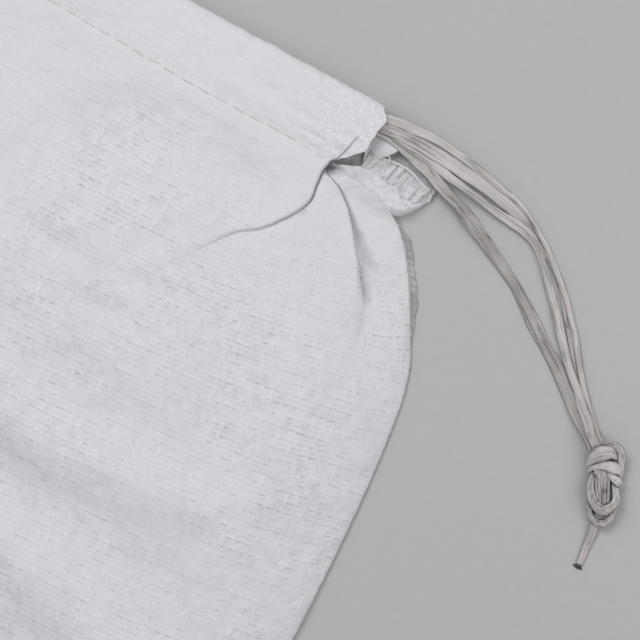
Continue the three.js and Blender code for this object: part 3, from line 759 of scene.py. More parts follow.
for number in range(FRINGE_FIBRES):
    side = fringe.uniform(-1, 1)
    turn = math.radians(62 * side + fringe.uniform(-14, 14))
    heading = math.cos(turn) * tip_along + math.sin(turn) * tip_across
    start = tip - 0.5 * tip_along + 1.5 * side * tip_across
    reach = fringe.uniform(0.9, 1.7)
    steps = np.linspace(0, 1, 6)[:, None]
    fibre = start + steps * reach * heading + UP * (fringe.uniform(-0.35, 0.35) * steps ** 2)
    thick = fringe.uniform(0.13, 0.24)
    tube(tail_parts, fibre, thick, sides=6, seed=number, mark=fringe.uniform(0.5, 0.9))
tail = tail_parts.build("drawstring_tail_tape", TAPE)


for letter, (strand, path, length) in strands.items():
    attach(strand, "root")
    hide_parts(f"drawstring_strand_{letter}")
for piece, node in ((knot_piece, "drawstring_knot"), (tail, "drawstring_tail")):
    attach(piece, "root")
    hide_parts(node)

# Outlines of the bag: right edge of each panel, and the two creases out of the gather, as (y, x)

FRONT_EDGE = [
    (20, 200), (76, 199), (126, 196.5), (172, 191.5), (189, 187), (202.5, 180.7), (212.8, 175.2),
    (222.9, 169.3), (230.8, 164.2), (237.2, 159.8), (240.9, 156.9), (244.7, 153.5), (249.3, 148.8),
    (254, 141.5), (257, 132.5), (259, 124), (261, 112.5), (262.2, 103.7), (263.1, 104.5), (264.5, 105.8),
    (266.4, 107.8), (267.4, 108.9), (270.2, 111.8), (272.9, 114.6), (276.5, 116.4), (283.7, 116.9),
    (288, 117.5), (293, 118.4), (300, 114),
]
REAR_EDGE = [
    (20, 200), (76, 199), (126, 196.5), (172, 191.5), (189, 187.6), (196, 184.5), (202.9, 181.6),
    (206, 181), (210.5, 179.6), (216.6, 177.5), (221, 175.6), (224.9, 173.2), (230.3, 169.9),
    (233.9, 166.8), (237.8, 164.2), (242.3, 161), (246.5, 157.4), (248.7, 154.1), (250, 151.5),
    (253.4, 148), (257, 134), (262, 116), (270, 110), (300, 108),
]
CREASE = [
    (100, 30), (140, 35), (154, 38), (168, 47.5), (176, 54.3), (184.7, 62.2), (194.9, 69.4), (202, 74.4),
    (208.7, 79.8), (216.6, 89.8), (224.5, 96.3), (229.6, 99.9), (234.2, 102.4), (238.2, 104),
    (240.9, 104.5), (250, 103.6), (258, 102.9), (262, 103.4), (265.8, 105.8), (269.4, 106.9),
    (272.3, 107.8), (276.2, 108.5), (279.5, 109.5), (282.5, 111), (290, 111), (300, 107),
]
VALLEY = [
    (-300, 115), (20, 120), (100, 140), (140, 152), (170, 157), (190, 155.5), (208.7, 150.5),
    (219.6, 143.7), (225, 140.3), (228.5, 137.1), (234.1, 132.8), (239, 128.9), (242.8, 125.6),
    (246, 122.6), (248.7, 119.4), (251.3, 116.2), (253.8, 111.9), (254.9, 108.6), (256.4, 105.4),
    (258.6, 103.8), (262, 104), (300, 112),
]
CREASE_STEP = [(150, 0), (168, 0.2), (185, 0.6), (208, 0.85), (225, 1), (252, 1), (266, 0)]
CREASE_ROUND = [(-300, 7), (176, 6), (186, 4.2), (196, 2.6), (209, 1.2), (222, 0.5), (300, 0.3)]
CREASE_SOFTNESS = [(180, 5), (195, 3.5), (206, 1.6), (216, 0.5), (225, 0.12)]
CREASE_GROOVE = [
    (176, 0), (184, 0.05), (194, 0.3), (200, 0.5), (209, 0.75), (222, 1.1), (230, 1.5), (234, 2.4),
    (240, 3), (256, 4), (262, 4), (265, 2.4), (270, 2.2), (277, 1.8), (283, 0),
]
VALLEY_DEPTH = [
    (170, 0), (184, 0.6), (195, 1.1), (202, 1.6), (208, 2.6), (213, 4.2), (219.6, 6.2), (226, 7.4),
    (234, 7.6), (243, 6), (249, 4.6), (256, 4), (259, 3), (262, 0),
]
VALLEY_REACH = [
    (-300, 15), (207, 13), (213, 11.5), (220, 9.5), (226, 8), (232, 5.6), (238, 3.6), (243, 2.2),
    (249, 1.3), (256, 0.9), (300, 0.8),
]
VALLEY_WALL = [(-300, 5), (206, 4), (213, 2.8), (220, 1.6), (226, 1), (232, 0.6), (240, 0.35), (300, 0.25)]
# Broad soft folds across the panel, as in the solids: line as (x, y), height, half width and rebound
FOLDS = [
    ([(-80, 84), (-30, 81), (24, 76), (62, 69), (109, 73), (148, 89), (185, 96)], 7, 17, 0.45),
    ([(-80, 36), (-20, 30), (30, 20), (62, 11), (98, 0), (140, -8), (185, -8)], 7.2, 18, 0.45),
    ([(-120, -74), (-40, -66), (40, -58), (120, -44), (180, -34)], 5, 19, 0.45),
    ([(-90, 150), (-60, 165), (-25, 203), (10, 231), (45, 237), (80, 229), (110, 224)], -2.6, 17, 0),
]
# Shallow wrinkles: both ends, depth and half width
WRINKLES = [
    (-24, 166, 16, 160, 1.4, 5), (31.6, 161, 52, 198.6, 1.1, 4), (50, 197, 72, 215, 1.0, 4),
    (43, 162.6, 79, 170.4, 1.1, 4.5), (24, 140.7, 63, 147.5, 1.2, 5.5), (61, 166, 82, 138, 1.2, 7),
    (20, 117, 42, 112, 1.1, 5), (44, 282, 74, 275.5, 0.9, 4), (-40, 128, 4, 118, 1.2, 6),
    (151, 214, 163, 188, 1.0, 4), (82.7, 209.1, 96.5, 208.2, 0.3, 1.1),
    (90.4, 217.4, 94.6, 216.6, 0.45, 0.9), (86, 196, 99, 193.5, 0.2, 1.2), (110, 228, 112, 240, 0.35, 1.4),
    (122, 214, 126, 229, 0.3, 1.6),
]
SEAM_LINE = [(-200, 267.6), (-60, 266.8), (-38, 265.9), (0, 264.6), (44, 263.5), (78, 263.6), (102, 262.4)]
VALLEY_SHADE = [(196, 0), (206, 0.2), (213, 0.7), (219, 0.8), (225, 0.45), (233, 0.2), (300, 0.2)]
# How far the crosswise tapes are drawn up, at the right edge and beyond the crease, as (y, rise)
EDGE_RISE = [(-300, 0), (-250, 0), (57, 17), (97, 20), (150, 19), (200, 11), (250, 2), (300, -2)]
FAN_RISE = [(-300, 0), (120, 0), (190, 12), (215, 18), (235, 16), (258, 4), (266, 0), (300, 0)]
GATHER_TOP_Y = 262
LOWEST_FRONT = 1.9


def front_edge_x(y):
    """Right edge of the front panel, with the roughness of gathered cloth."""
    roughness = 0.35 * noise(y, 3.0, 2.6, 71) * smooth(258, 250, y)
    hem_roughness = (0.6 * noise(y, 5.0, 3.0, 72) + 0.4 * noise(y, 9.0, 1.5, 85)) * smooth(265, 269, y)
    return table(FRONT_EDGE, y) + roughness + hem_roughness


def bulge(distance, reach, power):
    """How a filled form rises from its edge, from 0 to 1."""
    return np.sin(clip01(distance / reach) * np.pi / 2) ** power


def front_height(x, y, edge):
    """Height of the empty bag's front panel, as in the solids, without its creases."""
    rise = bulge(y - BOTTOM_Y - BOTTOM_FOLD, BOTTOM_LOFT_REACH, BOTTOM_POWER)
    mouth_drop = (LOFT_HEIGHT - MOUTH_HEIGHT) * smooth(MOUTH_DROP_START_Y, SEAM_Y, y)
    middle = mix(BOTTOM_THICKNESS, LOFT_HEIGHT, rise) - mouth_drop
    left = bulge(x + HALF_WIDTH, LEFT_LOFT_REACH, SIDE_POWER)
    right = bulge(edge - x, RIGHT_LOFT_REACH, SIDE_POWER)
    raised_edge = EDGE_THICKNESS + 2.2 * smooth(196, 222, y)
    right_edge = mix(raised_edge, HEM_END_HEIGHT, smooth(246, GATHER_TOP_Y, y))
    return np.minimum(mix(EDGE_THICKNESS, middle, left), mix(right_edge, middle, right))


def undulations(x, y):
    """Broad soft waves, folds and crumples of the front panel."""
    wander = 6 * noise(x, y, 55, 51)
    broader = smooth(70, 160, x)
    waves = 0.0
    for line, size, half, rebound in FOLDS:
        away = (y + wander - table(line, x)) / (half * (1 + 0.5 * broader))
        ends = window(line[0][0], line[0][0] + 50, line[-1][0] - 60, line[-1][0], x)
        shape = hump(away) - rebound * hump(away / 2.2)
        waves = waves + size * (1 - 0.25 * broader) * shape * ends * (1 + 0.3 * noise(x, y, 45, 90))
    broad = 1.3 * noise(x, y, 85, 52) + 0.7 * noise(x, y, 38, 53)
    crumples = 0.55 * ridged(x, y, 24, 54) * smooth(-0.1, 0.6, noise(x, y, 60, 55))
    facets = 0.16 * ridged(x, y, 10, 56)
    quiet = smooth(-292, -250, y) * smooth(-200, -170, x) * mix(1, 0.45, smooth(240, GATHER_TOP_Y, y))
    return (waves + broad + crumples + facets) * quiet


def hem_relief(x, y):
    """Pinch of the seam, with its puckers, and the soft fullness of the tunnel."""
    seam = table(SEAM_LINE, x)
    above = y - seam
    tunnel = clip01(above / (MOUTH_Y - seam))
    pinch = -0.22 * hump(above / 2.0) * (0.75 + 0.25 * np.cos(2 * np.pi * x / HEM_STITCH))
    puckers = 0.5 * noise(x, y, 5.5, 57) * hump(above / 9, 1)
    crumpled = 0.6 * ridged(x * 0.7, y, 6.5, 69) + 0.3 * ridged(x * 0.6, y, 3.3, 92)
    crumpled = crumpled * smooth(40, 85, x) * smooth(262, 268, y)
    full = 0.85 * np.sqrt(np.maximum(0, np.sin(np.pi * tunnel))) * smooth(0, 9, above)
    raw_edge = 0.15 * smooth(-10.4, -7.6, above)
    rough_fold = (0.45 * noise(x, y, 4.5, 67) + 0.3 * ridged(x, y, 3, 68)) * smooth(286, 296, y)
    bottom = -0.6 * hump((y - BOTTOM_SEAM_Y) / 2.4)
    dimple = -spot(x, y, (92.4, 262), (6 ** 0.5, 6 ** 0.5))
    return pinch + puckers + crumpled + full + raw_edge + rough_fold + bottom + dimple


# Rows of the cloth

# Each row is (y, layer): 0 and 1 are the turned bottom, 2 the panel, 3 the inner hem. The panel's
# last rows and the inner hem's are listed here with their share of the gap between the layers
TURN = {296.6: 0.03, 297.8: 0.09, 298.8: 0.2, 299.5: 0.34, 300.0: 0.5}
INNER = {
    299.4: 0.68, 298.2: 0.82, 296.4: 0.92, 293: 0.98, 288: 1.0, 282: 1.0, 276: 0.85, 271: 0.4,
    268.2: 0.12, SEAM_Y: 0.06, 265: 0.06, 261: 0.08, RAW_EDGE_Y: 0.1,
}
rows = [(y, 0) for y in np.arange(-272.4, -298, -3.2)]
rows += [(y, 1) for y in np.arange(-297.4, -274, 3.2)]
for start, stop, spacing in (
        (-271, -60, 5.0), (-60, 195.5, 1.9), (196, 247.7, 1.1), (248, 265.9, 0.8), (266.2, 296, 1.4)):
    rows += [(y, 2) for y in np.arange(start, stop, spacing)]
rows += [(y, 2) for y in TURN]
rows += [(y, 3) for y in INNER]
row_y = np.array([row[0] for row in rows], float)[:, None]
row_layer = np.array([row[1] for row in rows])[:, None]
turned, under, panel, inner = (row_layer == layer for layer in range(4))
drop = np.array([(TURN if layer == 2 else INNER).get(y, 0.0) for y, layer in rows])[:, None]
shape_y = np.where(inner, np.maximum(row_y, 264.5), row_y)
edge = front_edge_x(shape_y)
crease_x = table(CREASE, shape_y) + 0.25 * noise(shape_y, 11.0, 6.0, 70) * smooth(256, 250, shape_y)
crease_x = np.minimum(crease_x - 0.9 * window(150, 200, 255, 262, shape_y), edge - 0.7)
valley_x = np.clip(table(VALLEY, shape_y) - 0.8 * smooth(180, 225, shape_y), crease_x + 0.4, edge - 0.25)

# Columns of the front panel, closer together beside the crease and the valley

PANEL_COLUMNS = 112
BLOCK_COLUMNS = 30
LEFT_OF_CREASE = np.array([-7, -5.6, -4.3, -3.2, -2.3, -1.5, -0.85, -0.4, -0.15, 0.0])
RIGHT_OF_CREASE = np.array([0.12, 0.32, 0.6, 0.95, 1.4, 2.0, 2.8, 3.8, 5.0])
LEFT_OF_VALLEY = np.array([-4.6, -3.2, -2.1, -1.2, -0.5, 0.0])
RIGHT_OF_VALLEY = np.array([0.25, 0.7, 1.3, 2.1, 3.1, 4.3, 5.8, 7.6, 9.8, 12.4])


def columns_between(low, high, count, power=1.0):
    return mix(low, high, np.linspace(0, 1, count, endpoint=False) ** power)


left_scale = clip01((valley_x - crease_x) / 13)
right_scale = clip01((edge - valley_x) / 19)
right_of_crease = crease_x + RIGHT_OF_CREASE * left_scale
left_of_valley = valley_x + LEFT_OF_VALLEY * left_scale
right_of_valley = valley_x + RIGHT_OF_VALLEY * right_scale
front_x = np.concatenate([
    columns_between(-HALF_WIDTH, crease_x + LEFT_OF_CREASE[0], PANEL_COLUMNS),
    crease_x + LEFT_OF_CREASE,
    right_of_crease,
    columns_between(right_of_crease[:, -1:] + 0.9 * left_scale, left_of_valley[:, :1], BLOCK_COLUMNS),
    left_of_valley,
    right_of_valley,
    columns_between(right_of_valley[:, -1:] + 1.5 * right_scale, edge, BLOCK_COLUMNS, 0.85),
    edge,
], axis=1)
FRONT_COLUMNS = front_x.shape[1]
front_y = np.repeat(row_y, FRONT_COLUMNS, axis=1)
mouth_roughness = 0.4 * noise(front_x, 11.0, 2.6, 93) * smooth(0, 60, front_x)
mouth_roughness = 0.5 * noise(front_x, 7.0, 6.0, 84) + mouth_roughness
front_y = front_y + mouth_roughness * smooth(293, 299, shape_y)
tucked_y = mix(front_y, 265.3 - 0.08 * (265 - front_y), smooth(94, 101, front_x))
front_y = np.where(inner & (row_y < 265), tucked_y, front_y)
front_z = front_height(front_x, shape_y, edge)
front_z = front_z + undulations(front_x, shape_y) + hem_relief(front_x, shape_y)

# Relief of the crease and the valley, the pits at the gather, and the wrinkles

from_crease = front_x - crease_x
before = np.minimum(from_crease, 0)
step, groove, rounding, softness = (
    table(points, shape_y) for points in (CREASE_STEP, CREASE_GROOVE, CREASE_ROUND, CREASE_SOFTNESS))
crease_relief = np.where(
    from_crease <= 0,
    2.2 * step * np.exp(before / 20) * (1 - np.exp(before / rounding))
    - 0.25 * groove * np.exp(before / 0.3),
    -1.1 * step * np.exp(-from_crease / 12) * smooth(0, 1, from_crease / softness)
    - 0.9 * groove * hump(from_crease / 0.75),
)
from_valley = front_x - valley_x
beyond = np.maximum(from_valley, 0)
depth, reach, wall = (table(points, shape_y) for points in (VALLEY_DEPTH, VALLEY_REACH, VALLEY_WALL))
valley_relief = np.where(
    from_valley <= 0,
    0.12 * depth * np.exp(from_valley / 5) - 0.5 * depth * np.exp(from_valley / (0.35 * wall)),
    -depth * smooth(-0.6, 1, from_valley / wall) * hump(beyond / reach, 1.9),
)
below_hem = smooth(262.5, 261.7, shape_y)
gather = 4.0 * spot(front_x, shape_y, (104.2, 260.6), (2.4, 2.4))
gather = gather * mix(0.1, 1.0, smooth(-0.6, 0.3, from_crease)) * mix(0.3, 1.0, below_hem)
near_gather = smooth(-0.3, 0.25, from_crease) * smooth(113, 105.2, front_x) * smooth(253.6, 259.2, shape_y)
at_corner = smooth(-0.2, 0.5, from_crease) * smooth(257, 260, shape_y) * smooth(-1, 0, 118 - edge)
pit = (7.0 * near_gather + 3.2 * at_corner) * below_hem
fold_pit = 2.5 * spot(front_x, shape_y, (103.9, 233.3), (1.1, 1.3))
front_z = front_z + crease_relief + valley_relief - gather - pit - fold_pit
for x1, y1, x2, y2, deep, half in WRINKLES:
    run_x, run_y = x2 - x1, y2 - y1
    share = clip01(((front_x - x1) * run_x + (shape_y - y1) * run_y) / (run_x ** 2 + run_y ** 2))
    off = np.hypot(front_x - x1 - share * run_x, shape_y - y1 - share * run_y)
    front_z = front_z - deep * hump(off / half) * np.sin(np.pi * (0.1 + 0.8 * share))
front_z = np.maximum(front_z, LOWEST_FRONT)

# Hem and turned bottom

HEM_GAP = 5.2
TURNED_HEIGHT, TURN_HEIGHT, UNDER_HEIGHT, LEAVING_HEIGHT = 2.7, 2.3, 1.7, 1.8
# The hem's outer layer turns at the mouth and comes back inside
front_z = front_z - drop * np.minimum(HEM_GAP, 0.34 * (front_z - 0.4))
# Both panels fold forward together at the bottom, and the fold is stitched down
ripple = 0.25 * noise(front_x, front_y, 30, 58)
front_z = np.where(turned, TURNED_HEIGHT + ripple, np.where(under, UNDER_HEIGHT + ripple, front_z))
front_z[np.argmax(under) - 1] = TURN_HEIGHT
leaving = panel & (row_y < -255)
front_z = np.where(leaving, mix(LEAVING_HEIGHT, front_z, smooth(-272, -262, row_y)), front_z)

# Flat coordinates of the front panel, in which the tapes are straight

towards_edge = clip01((front_x + 100) / (edge + 100)) ** 3
towards_fan = clip01(from_crease / np.maximum(edge - crease_x, 1)) ** 1.5
tape_rise = table(EDGE_RISE, shape_y) * towards_edge + table(FAN_RISE, shape_y) * towards_fan
pull = np.clip((HALF_WIDTH - crease_x) / np.maximum(edge - crease_x, 1), 1, 1.5)
pull = mix(pull, 1.0, smooth(252, GATHER_TOP_Y, shape_y))
front_c = np.where(from_crease <= 0, front_x, crease_x + pull * from_crease)
run = np.where(inner, 2 * MOUTH_Y - row_y, np.where(turned, 2 * BOTTOM_Y - row_y, row_y))
front_v = run - tape_rise

# Rear panel and the two side folds, which close each row into a ring

REAR_COLUMNS = 34
FOLD_COLUMNS = 18
REAR_HEIGHT = 0.45
REAR_TURNED_LIFT = 2.9
REAR_HEM_GAP = 1.6
STRIP_HEIGHT = 1.5
ragged = 0.6 * noise(shape_y, 2.0, 3.4, 80) + 0.35 * noise(shape_y, 6.0, 1.7, 87)
rear_edge = table(REAR_EDGE, shape_y) + ragged * smooth(192, 200, shape_y)
rear_edge = np.maximum(rear_edge, np.where(row_y < GATHER_TOP_Y, edge - 0.5, 0))
share = np.linspace(0, 1, REAR_COLUMNS)
rear_x = mix(rear_edge, -HALF_WIDTH, share)
rear_y = np.repeat(row_y, REAR_COLUMNS, axis=1)
rear_drop = REAR_HEM_GAP * np.where(inner, np.maximum(drop, 0.45), drop)
rear_z = REAR_HEIGHT + 0.12 * noise(rear_x, rear_y, 40, 59)
rear_z = rear_z + np.where(turned, REAR_TURNED_LIFT + 0.2 * ripple[:, :REAR_COLUMNS], rear_drop)
rear_y = rear_y - (1.6 * turned + 1.9 * under) * smooth(-285, -298, rear_y)
rear_y = rear_y + 0.8 * turned * smooth(-280, -272, rear_y) * (1 + noise(rear_x, 0, 12, 60))


def side_fold(from_x, from_z, to_x, to_z, outward):
    """Columns that round the cloth's edge between the panels. Where the rear panel sticks out, the
    front one tucks under first, and the rear panel's margin shows beside it."""
    t = np.linspace(0, 1, FOLD_COLUMNS + 2)[1:-1]
    rounding = 0.9 * np.sin(np.pi * t) * clip01((from_z - to_z) / 2)
    x = mix(from_x, to_x, smooth(0, 1, t)) + outward * rounding
    z = mix(from_z, to_z, t)
    strip = STRIP_HEIGHT + 0.8 * noise(row_y, 3.0, 3.2, 77)
    tuck_x = [
        from_x, from_x + 0.35 * outward, from_x, from_x - 0.7 * outward, from_x - 0.1 * outward,
        mix(from_x, to_x, 0.5), to_x - 0.4 * outward, to_x + 0.1 * outward, to_x,
    ]
    tuck_z = [
        from_z, from_z - 0.5, mix(from_z, STRIP_HEIGHT, 0.5), strip + 0.2, strip - 0.1,
        strip + 0.9 * noise(row_y, 9.0, 3.0, 78), strip - 0.2, mix(strip, to_z, 0.6), to_z,
    ]
    places = np.arange(len(tuck_x))
    tucked_x, tucked_z = (
        np.stack([np.interp(t * places[-1], places, row) for row in np.concatenate(tuck, axis=1)])
        for tuck in (tuck_x, tuck_z))
    share = smooth(0.7, 2.0, (to_x - from_x) * outward) * panel * smooth(GATHER_TOP_Y, 256, row_y)
    return mix(x, tucked_x, share), mix(z, tucked_z, share)


right_x, right_z = side_fold(front_x[:, -1:], front_z[:, -1:], rear_x[:, :1], rear_z[:, :1], 1)
left_x, left_z = side_fold(rear_x[:, -1:], rear_z[:, -1:], front_x[:, :1], front_z[:, :1], -1)
fold_y = np.repeat(row_y, FOLD_COLUMNS, axis=1)
right_c = front_c[:, -1:] + np.linspace(0.3, 3.5, FOLD_COLUMNS)
rear_c = right_c[:, -1:] + 0.6 + (rear_edge - rear_x)
left_c = rear_c[:, -1:] + np.linspace(0.5, 2.5, FOLD_COLUMNS)
right_v = np.repeat(front_v[:, -1:], FOLD_COLUMNS, axis=1)
rear_v = run - tape_rise[:, -1:] * (1 - share) ** 2
left_v = np.repeat(run, FOLD_COLUMNS, axis=1)
ring_x, ring_y, ring_z, ring_c, ring_v = (np.concatenate(panels, axis=1) for panels in (
    (front_x, right_x, rear_x, left_x),
    (front_y, fold_y, rear_y, fold_y),
    (front_z, right_z, rear_z, left_z),
    (front_c, right_c, rear_c, left_c),
    (front_v, right_v, rear_v, left_v),
))

# How much of the weave shows, the grey of the single layer in the side strip, and painted shade in the
# strip, the valley and the pits

weave = mix(0.28, 1.0, smooth(18, 95, np.hypot(ring_x - 106, ring_y - 258)))
weave = weave * mix(1.0, 0.5, smooth(225, 262, ring_y))
clearer = noise(ring_x, ring_y, 130, 79) + 0.8 * spot(ring_x, ring_y, (110, 110), (100, 100))
weave = weave * mix(0.45, 1.0, smooth(-0.35, 0.35, clearer))
front_weave = weave[:, :FRONT_COLUMNS]
strip_weave = weave[:, FRONT_COLUMNS:FRONT_COLUMNS + FOLD_COLUMNS]
margin = (right_x - edge).clip(0, 4)
# Rear margin strip: greyed as a single layer of cloth and as painted shade beside the front panel's edge
strip_weave[:] = -1.42 * smooth(0.2, 1.2, margin) * smooth(262, 254, row_y)
front_weave += 0.35 * smooth(2, 8, from_valley) * window(180, 205, 240, 258, shape_y)
# Painted shade on the valley's floor
valley_mark = -table(VALLEY_SHADE, shape_y)
in_valley = (from_valley > 0) * hump(beyond / (0.8 * reach), 2.4) * clip01(-valley_mark / 0.2)
front_weave[:] = mix(front_weave, valley_mark, in_valley)
# Painted shade in the pits at the gather, darkest at the junction
junction_shade = spot(front_x, shape_y, (103.9, 260.8), (2.2, 2.8))
front_weave[:] = mix(front_weave, -0.2 - junction_shade, clip01(pit / 5))

gather_row = int(np.argmax(panel & (row_y > 262.2)))


def is_opening(row, column):
    """The slit at the mouth's right end, where the side fold is left out."""
    return row >= gather_row and FRONT_COLUMNS - 1 <= column < FRONT_COLUMNS + FOLD_COLUMNS


cloth_parts = Parts()
cloth_parts.add(
    np.stack([ring_x, ring_y, ring_z], axis=-1), np.stack([ring_c, ring_v, weave], axis=-1),
    wrap=True, skip=is_opening)
bag = cloth_parts.build("bag_woven_cloth", CLOTH)

# Rear hem end, which curls up at the corner

# Each station is an x and the (y, z) points of its section: round the roll from its lower edge,
# under its upper edge, over the puckered band to its rim, and down into the hollow behind it
FLAP = {
    101: [(257, 2.6), (257.8, 2.8), (259.4, 3), (260.8, 3.4), (261.4, 3.6), (261.8, 3.6),
          (262.4, 3.6), (264, 4), (266, 4.4), (269, 4.8), (273, 4.5), (280, 3)],
    104.5: [(256.8, 2.8), (257.6, 3.2), (259.8, 4), (261.7, 7.4), (262.5, 7.6), (262.8, 6.2),
            (263, 5), (264.6, 4.8), (267, 5), (270, 5), (275, 4.5), (282, 3)],
    107: [(256.7, 3.4), (257.4, 4.2), (260.2, 5.6), (262.6, 9.6), (263.3, 9.6), (263.2, 7.6),
          (263.6, 5.6), (265.4, 5), (268, 5), (272, 5), (277, 4.5), (283, 3)],
    110: [(256.5, 5), (257.2, 6.6), (260.5, 9.6), (263.3, 12.6), (264.1, 12.2), (263.8, 9.3),
          (264.4, 6), (266.4, 5), (269.3, 5), (273.3, 5), (278.3, 4.5), (284.3, 3)],
    114: [(256.5, 4), (256.8, 8.5), (260.8, 12.2), (264.9, 12.8), (265.8, 12.1), (265.5, 9),
          (266.2, 5.8), (268.5, 5.2), (271, 5.2), (275, 5), (280, 4.5), (286, 3)],
    116.8: [(256.5, 3.4), (256.5, 8), (261, 11.7), (265.7, 12.4), (266.6, 11.6), (266.3, 8.8),
            (267, 6), (269, 5.4), (271.5, 5.3), (275, 5), (280, 4.5), (286, 3)],
    118.6: [(256.4, 3), (256.1, 7.4), (261.2, 11.3), (266.2, 12.0), (267.1, 11.2), (266.8, 9.2),
            (267.5, 8.4), (269.4, 8.5), (271.8, 8.6), (274.5, 8.3), (278, 7.6), (285, 5)],
    124: [(256, 1.5), (255, 6), (260.8, 10.6), (267.3, 11.2), (268.3, 10.3), (268.0, 8.2),
          (268.8, 7.4), (271, 8.1), (273.6, 8.8), (276.4, 8.5), (278.2, 5), (285, 2)],
    129: [(255.5, 0.8), (254.2, 5.2), (259.8, 10.2), (266.6, 10.8), (267.5, 9.8), (267.2, 7.5),
          (268.0, 6.8), (270.8, 7.8), (274, 8.6), (277.2, 8.4), (278.6, 4), (284.5, 1.8)],
    133: [(255.2, 0.7), (253.8, 5), (259.1, 10.1), (265.3, 10.6), (266.2, 9.6), (265.9, 7.3),
          (266.8, 6.6), (270, 7.9), (274.5, 9), (277.9, 8.9), (278.8, 4.5), (284.5, 1.6)],
    138: [(254.8, 0.6), (253.2, 4.8), (258.1, 9.9), (264.7, 10.3), (265.6, 9.4), (265.3, 7.1),
          (266.3, 6.5), (269.5, 7.9), (274.3, 9.1), (278, 8.9), (278.9, 4.5), (284.5, 1.4)],
    143: [(254.4, 0.6), (253.1, 4.4), (257.1, 9.3), (262.0, 9.8), (262.9, 8.9), (262.7, 6.9),
          (263.7, 6.4), (268, 7.8), (273.5, 8.8), (277.1, 8.4), (278, 4.2), (283.5, 1.4)],
    147: [(256.2, 0.6), (255.1, 3.6), (257.8, 8.0), (261.4, 8.9), (262.3, 8.2), (262.1, 6.8),
          (263.3, 6.4), (267, 7.4), (272, 8.2), (275.7, 7.8), (276.7, 4), (281.5, 1.4)],
    150: [(259.2, 0.6), (258.2, 2.8), (259.4, 5.8), (260.9, 7.1), (261.7, 7.1), (262.1, 6.5),
          (263.1, 6.5), (266, 7), (270, 7.4), (274.6, 6.8), (275.7, 4), (279.5, 1.4)],
    153: [(263, 0.6), (262.3, 2.2), (263, 4.0), (263.9, 4.9), (264.6, 5.5), (265.2, 5.7),
          (266, 5.9), (268, 6.2), (270.5, 6.2), (274, 5.6), (275.5, 3.6), (278, 1.4)],
    156: [(267.5, 0.6), (267, 1.5), (267.4, 2.4), (268, 3.0), (268.6, 3.5), (269.4, 3.8),
          (270.2, 4), (271.5, 4), (272.6, 3.8), (274.2, 3.2), (275.2, 2.4), (276.5, 1.2)],
}
FLAP_LENGTHWISE, FLAP_ROUND = 190, 133
# Where its flat coordinates, and those of the turned layer, begin on the cloth
FLAP_FLAT = (700, 300)
LAYER_FLAT = 820


def spread(stations, values, at):
    """Values at the given places between stations, along the first axis."""
    flat = values.reshape(len(values), -1)
    made = np.stack([table(list(zip(stations, column)), at) for column in flat.T], axis=1)
    return made.reshape((len(at),) + values.shape[1:])


flap_along = np.linspace(min(FLAP), max(FLAP), FLAP_LENGTHWISE)
flap_sections = spread(list(FLAP), np.array(list(FLAP.values()), float), flap_along).transpose(1, 0, 2)
section_points = len(flap_sections)
around = np.linspace(0, section_points - 1, FLAP_ROUND)
flap_sections = spread(np.arange(float(section_points)), flap_sections, around).transpose(1, 0, 2)
flap_x = np.repeat(flap_along[:, None], FLAP_ROUND, axis=1)
flap_y, flap_z = flap_sections[..., 0], flap_sections[..., 1]
band = window(5.6, 6.4, 8.4, 9.1, around) * smooth(118, 122, flap_x)
lean_x = flap_x - 0.17 * (flap_y - 270)
pucker = np.abs(noise(lean_x, 0.22 * flap_y, 4.3, 61)) ** 0.8 - 0.35
pucker = pucker + 0.5 * (np.abs(noise(lean_x, 0.35 * flap_y, 1.9, 73)) - 0.3)
flap_z = flap_z + 2.3 * pucker * band * mix(0.6, 1.0, smooth(124, 130, flap_x))
roll = window(0.4, 1.2, 3.2, 4.2, around)
crumpled_roll = 0.4 * ridged(flap_x, flap_y, 4.5, 63) + 0.2 * ridged(flap_x, flap_y, 2.6, 94)
flap_z = flap_z + roll * (0.5 * noise(flap_x, flap_y, 9, 62) + crumpled_roll)
roll_edge = window(2.4, 3.4, 5.0, 6.2, around)
flap_y = flap_y + roll_edge * (0.7 * noise(flap_x, 0, 5, 64) + 0.45 * noise(flap_x, 3, 2.2, 86))
rough_end = smooth(144, 151, flap_x)
rough = 0.7 * noise(flap_x, flap_y, 3.2, 65) + 0.4 * ridged(flap_x, flap_y, 2.2, 74)
flap_z = flap_z + rough_end * rough
flap_y = flap_y + rough_end * 0.5 * noise(flap_x, flap_z, 2.4, 75)
fray = smooth(151, 156, flap_x)
flap_x = flap_x + fray * 0.9 * noise(flap_y * 1.5, flap_z * 1.5, 1.6, 66)
flap_z = np.maximum(flap_z, 0.4)
flap_grid = np.stack([flap_x, flap_y, flap_z], axis=-1)
section_run = run_along(flap_grid.transpose(1, 0, 2)).T
# Painted shade on the rear hem end: in the puckers' folds, below the rim, in the hollow behind it, under
# the roll's upper edge, and deeper towards the front hem
fold_shade = clip01((0.12 - pucker) / 0.35)
hollow = smooth(8.6, 9.6, around) * mix(1.3, 0.45, smooth(128, 141, flap_x)) * smooth(117, 121, flap_x)
hollow = hollow + 0.55 * smooth(4.6, 5.6, around) * smooth(119, 117, flap_x)
below_rim = smooth(7.9, 8.8, around) * smooth(146, 140, flap_x)
flap_mark = mix(-0.34, -0.02, smooth(114, 132, flap_x))
flap_mark = flap_mark - band * (0.05 + 0.6 * fold_shade + 0.3 * below_rim) - hollow
flap_flat = np.stack([flap_x * 1.25 + FLAP_FLAT[0], section_run + FLAP_FLAT[1], flap_mark], axis=-1)
flap_parts = Parts()
flap_parts.add(flap_grid, flap_flat)
last, last_flat = flap_grid[-1], flap_flat[-1]
end_points = np.stack([last, mix(last, last.mean(axis=0), 0.55) + [0.6, 0, 0]])
flap_parts.add(end_points, np.stack([last_flat, last_flat + [2.0, 0, 0]]))

